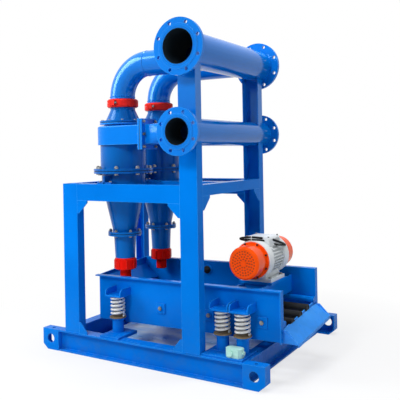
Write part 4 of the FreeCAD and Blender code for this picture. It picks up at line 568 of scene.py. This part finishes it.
def around(centre, axis, radius, count, start=0.0):
    """Points on a circle about an axis through the centre."""
    axis = Vector(axis).normalized()
    upright = abs(axis.z) >= 0.9
    side = Vector(ALONG_X) if upright else Vector(ALONG_Z)
    side = (side - axis * side.dot(axis)).normalized()
    return circle(centre, side, axis.cross(side), radius, count, start)


def between(first, second):
    """Points on a straight line, a bead's step apart."""
    count = max(2, int((second - first).length / BEAD_STEP))
    return [first.lerp(second, number / count) for number in range(count + 1)]


def saddle(y, height, branch_r, run_r, gap, count=96):
    """Where a level pipe along X meets the side of one along Y at the same height, in mm."""
    made = []
    for number in range(count):
        angle = 2 * math.pi * number / count
        z = height + (branch_r + gap) * math.sin(angle)
        reach = math.sqrt(max(0.0, run_r ** 2 - (z - height) ** 2))
        made.append(spot(PIPE_X - reach - gap, y + (branch_r + gap) * math.cos(angle), z))
    return made


class Piece:
    """Many small shapes of one finish on one body, gathered in one mesh."""

    def __init__(self, name, body, slot, material):
        self.name = name
        self.body = body
        self.slot = slot
        self.material = material
        self.mesh = bmesh.new()

    def loop(self, centre, side, up, radius, sides):
        return [self.mesh.verts.new(place) for place in circle(centre, side, up, radius, sides)]

    def bridge(self, rings):
        """Smooth faces from each ring to the next."""
        for first, second in zip(rings, rings[1:]):
            for number in range(len(first)):
                after = (number + 1) % len(first)
                corners = (first[number], first[after], second[after], second[number])
                self.mesh.faces.new(corners).smooth = True

    def tube(self, points, radius, closed=False, ripple=0.0):
        """Round bead through the points; ripple is the share by which its radius swings."""
        count = len(points)
        rings = []
        up = None
        for number, point in enumerate(points):
            before = points[number - 1] if closed or number else point
            after = points[(number + 1) % count] if closed or number < count - 1 else point
            along = (after - before).normalized()
            if up is None:
                up = along.orthogonal().normalized()
            up = (up - along * up.dot(along)).normalized()
            swing = 1 + ripple * math.sin(number * RIPPLE_TURN)
            rings.append(self.loop(point, up, along.cross(up), radius * swing, BEAD_SIDES))
        if closed:
            self.bridge(rings + rings[:1])
        else:
            self.bridge(rings)
            self.mesh.faces.new(rings[0])
            self.mesh.faces.new(list(reversed(rings[-1])))

    def ring(self, centre, axis, radius, steps, bead, ripple=0.0):
        """Closed bead on a circle about an axis through the centre."""
        self.tube(around(centre, axis, radius, steps), bead, closed=True, ripple=ripple)

    def line(self, first, second, bead):
        """Straight weld."""
        self.tube(between(first, second), bead, ripple=LINE_RIPPLE)

    def lathe(self, centre, axis, profile, sides):
        """Closed solid of revolution: profile is a list of (distance along the axis, radius)."""
        axis = Vector(axis).normalized()
        side = axis.orthogonal().normalized()
        up = axis.cross(side)
        rings = [self.loop(centre + axis * along, side, up, r, sides) for along, r in profile]
        self.bridge(rings)
        self.mesh.faces.new(list(reversed(rings[0])))
        self.mesh.faces.new(rings[-1])

    def finish(self):
        """Turn the shapes into an object that rides on its body."""
        bmesh.ops.recalc_face_normals(self.mesh, faces=self.mesh.faces)
        data = bpy.data.meshes.new(self.name)
        self.mesh.to_mesh(data)
        self.mesh.free()
        data.materials.append(self.material)
        thing = bpy.data.objects.new(self.name, data)
        bpy.context.scene.collection.objects.link(thing)
        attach(thing, self.body)


def add_welds():
    """Welds of the elbows, the pipes' flanges, the covers' necks and the front posts' feet."""
    piece = Piece("weld_beads", "skid_frame", "blue_paint", BLUE)
    bead = 0.0035
    for y in CYCLONE_Y:
        seam = saddle(y, OUTLET_Z, ELBOW_R, OUTLET_R, gap=1.0)
        piece.tube(seam, bead, closed=True, ripple=PIPE_RIPPLE)
    flanges = ((OUTLET_Z, OUTLET_R, (-64.0, 984.0)), (INLET_Z, INLET_R, (-92.0, 1024.0)))
    for height, radius, faces in flanges:
        for y in faces:
            piece.ring(spot(PIPE_X, y, height), ALONG_Y, radius / 1000, 120, bead, PIPE_RIPPLE)
    neck_radius = 0.0846
    neck_bead = 0.0032
    for y in CYCLONE_Y:
        for z in (1716.0, 1729.0):
            place = spot(CYCLONE_X, y, z)
            piece.ring(place, ALONG_Z, neck_radius, 96, neck_bead, NECK_RIPPLE)
    foot_bead = bead * 0.8
    for left in POST_LEFTS:
        for x in (left, left + POST_WIDTH):
            piece.line(spot(x, 12, RAIL_TOP), spot(x, 74, RAIL_TOP), foot_bead)
    for left in POST_LEFTS:
        right = left + POST_WIDTH
        piece.line(spot(left + 2, 3, RAIL_TOP), spot(right - 2, 3, RAIL_TOP), foot_bead)
    piece.finish()


def add_cap_bolts():
    """Bolts around the inner rim of each cap, with their heads outwards."""
    bolts = Piece("cap_bolts", "screen_box", "black_rubber", BLACK)
    cap_depth = 112
    bolt_circle = 0.109
    head = [(0, 0.0055), (0.009, 0.0055), (0.0105, 0.004)]
    for y, out in CAP_FACES:
        rim = spot(MOTOR_X, y - out * cap_depth, MOTOR_Z)
        for place in around(rim, ALONG_Y, bolt_circle, 8, math.pi / 8):
            bolts.lathe(place, (0, out, 0), head, 12)
    bolts.finish()


def add_vent_hole_shade():
    """Black dots painted as the shade inside the holes of the caps' faces, in rings around the
    hub.
    """
    hole_shades = Piece("cap_vent_hole_shade", "screen_box", "black_rubber", BLACK)
    rings = 4
    first_radius = 0.0255
    ring_step = 0.0155
    pitch = 0.0178
    twist = 0.7
    # A black dot painted as the shade in one hole
    dot = [(-0.0004, 0.0039), (0.0005, 0.0039)]
    for y, out in CAP_FACES:
        face = spot(MOTOR_X, y, MOTOR_Z)
        for ring in range(rings):
            radius = first_radius + ring * ring_step
            count = int(2 * math.pi * radius / pitch)
            for place in around(face, (0, out, 0), radius, count, ring * twist):
                hole_shades.lathe(place, (0, out, 0), dot, 12)
    hole_shades.finish()


def add_cap_hubs():
    hubs = Piece("cap_hub", "screen_box", "orange_paint", ORANGE)
    hub = [(-0.0005, 0.0165), (0.0016, 0.0165), (0.0028, 0.015)]
    for y, out in CAP_FACES:
        hubs.lathe(spot(MOTOR_X, y, MOTOR_Z), (0, out, 0), hub, 32)
    hubs.finish()


def add_cable_ties():
    """Oval tie around both motor cables."""
    ties = Piece("cable_ties", "screen_box", "white_paint", WHITE)
    half_depth = Vector((0, 0.017, 0))
    half_height = Vector((0, 0, 0.016))
    oval = circle(spot(1455, 351, 799), half_depth, half_height, 1, 32)
    ties.tube(oval, 0.0022, closed=True)
    ties.finish()


def add_plate_washers():
    """Washers under the bolts of the front side plate's tension plates."""
    washers = Piece("plate_washers", "screen_box", "blue_paint", BLUE)
    washer = [(-0.001, 0.021), (0.0025, 0.021), (0.0034, 0.019)]
    for x in (497.0, 860.0, 1223.0, 1586.0):
        washers.lathe(spot(x, 192, 330), (0, -1, 0), washer, 28)
    washers.finish()


def add_stringer_rims():
    """Rounded rubber ends of the three stringers, each with its bore."""
    rims = Piece("stringer_rims", "screen_box", "black_rubber", SOOT)
    bore = [(-0.001, 0.012), (0.0006, 0.012)]
    for line in range(3):
        end = spot(1717, 352 + 123 * line, 306 + 15 * line)
        rims.ring(end, ALONG_X, 0.0225, 40, 0.0028)
        rims.lathe(end, ALONG_X, bore, 24)
    rims.finish()


def add_nut_seams():
    """Mould seams around the apex nuts."""
    seams = Piece("nut_seams", "skid_frame", "red_polyurethane", URETHANE)
    for y in CYCLONE_Y:
        for z in (560.0, 622.0):
            seams.ring(spot(CYCLONE_X, y, z), ALONG_Z, 0.0715, 72, 0.0022)
    seams.finish()


def add_nozzle_linings():
    linings = Piece("nozzle_linings", "skid_frame", "black_rubber", BLACK)
    for y in CYCLONE_Y:
        linings.ring(spot(CYCLONE_X, y, 488), ALONG_Z, 0.0335, 56, 0.0035)
    linings.finish()


def add_terminal_screws():
    """Screws at the corners of the terminal box's lid."""
    screws = Piece("terminal_screws", "screen_box", "zinc_steel", ZINC)
    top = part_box("terminal_box")[1].z
    screw = [(-0.001, 0.006), (0.004, 0.006), (0.0055, 0.0045)]
    for x in (MOTOR_X - 74, MOTOR_X + 74):
        for y in (MOTOR_Y - 68, MOTOR_Y + 68):
            screws.lathe(spot(x, y, top * 1000), ALONG_Z, screw, 16)
    screws.finish()


def add_case_bosses():
    """Two bosses on the motor case's right shoulder."""
    bosses = Piece("case_bosses", "screen_box", "grey_paint", GREY)
    boss = [(-0.02, 0.012), (0.012, 0.012), (0.014, 0.010)]
    for y in (MOTOR_Y - 62, MOTOR_Y + 62):
        bosses.lathe(spot(MOTOR_X + 84, y, MOTOR_Z + 62), (0.8, 0, 0.6), boss, 20)
    bosses.finish()


def add_rail_welds():
    """Short welds at the top and bottom of the front rail's ends, on the corner blocks."""
    welds = Piece("rail_welds", "skid_frame", "blue_paint", BLUE)
    low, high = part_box("front_rail")
    reach = 0.02
    for x in (low.x, high.x):
        for bottom, top in ((low.z + 0.004, low.z + reach), (high.z - reach, high.z)):
            welds.line(Vector((x, low.y, bottom)), Vector((x, low.y, top)), 0.003)
    welds.finish()


def add_port_plug():
    """Black plug that closes the port in the rear side plate."""
    piece = Piece("port_plug", "screen_box", "black_rubber", BLACK)
    stem = [(0.0, 0.0174), (0.018, 0.0174)]
    flange = [(0.0182, 0.027), (0.026, 0.027), (0.029, 0.024)]
    spigot = [(0.029, 0.012), (0.040, 0.011), (0.041, 0.008)]
    piece.lathe(spot(902, 752, 492), (0, -1, 0), stem + flange + spigot, 32)
    piece.finish()


def add_springs():
    """A copy of the solids' springs in their own shape, in place of the solid, which is hidden."""
    springs = bpy.data.objects.new("springs", NODES["coil_springs"].data.copy())
    bpy.context.scene.collection.objects.link(springs)
    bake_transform(springs)
    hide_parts("coil_springs")


bpy.context.scene.view_settings.view_transform = "Standard"
add_camera()
add_world()
add_floor()
for lamp_row in LAMPS:
    add_area(*lamp_row)
dress_nodes()
add_welds()
add_cap_bolts()
add_vent_hole_shade()
add_cap_hubs()
add_cable_ties()
add_plate_washers()
add_stringer_rims()
add_nut_seams()
add_nozzle_linings()
add_terminal_screws()
add_case_bosses()
add_rail_welds()
add_port_plug()
add_springs()
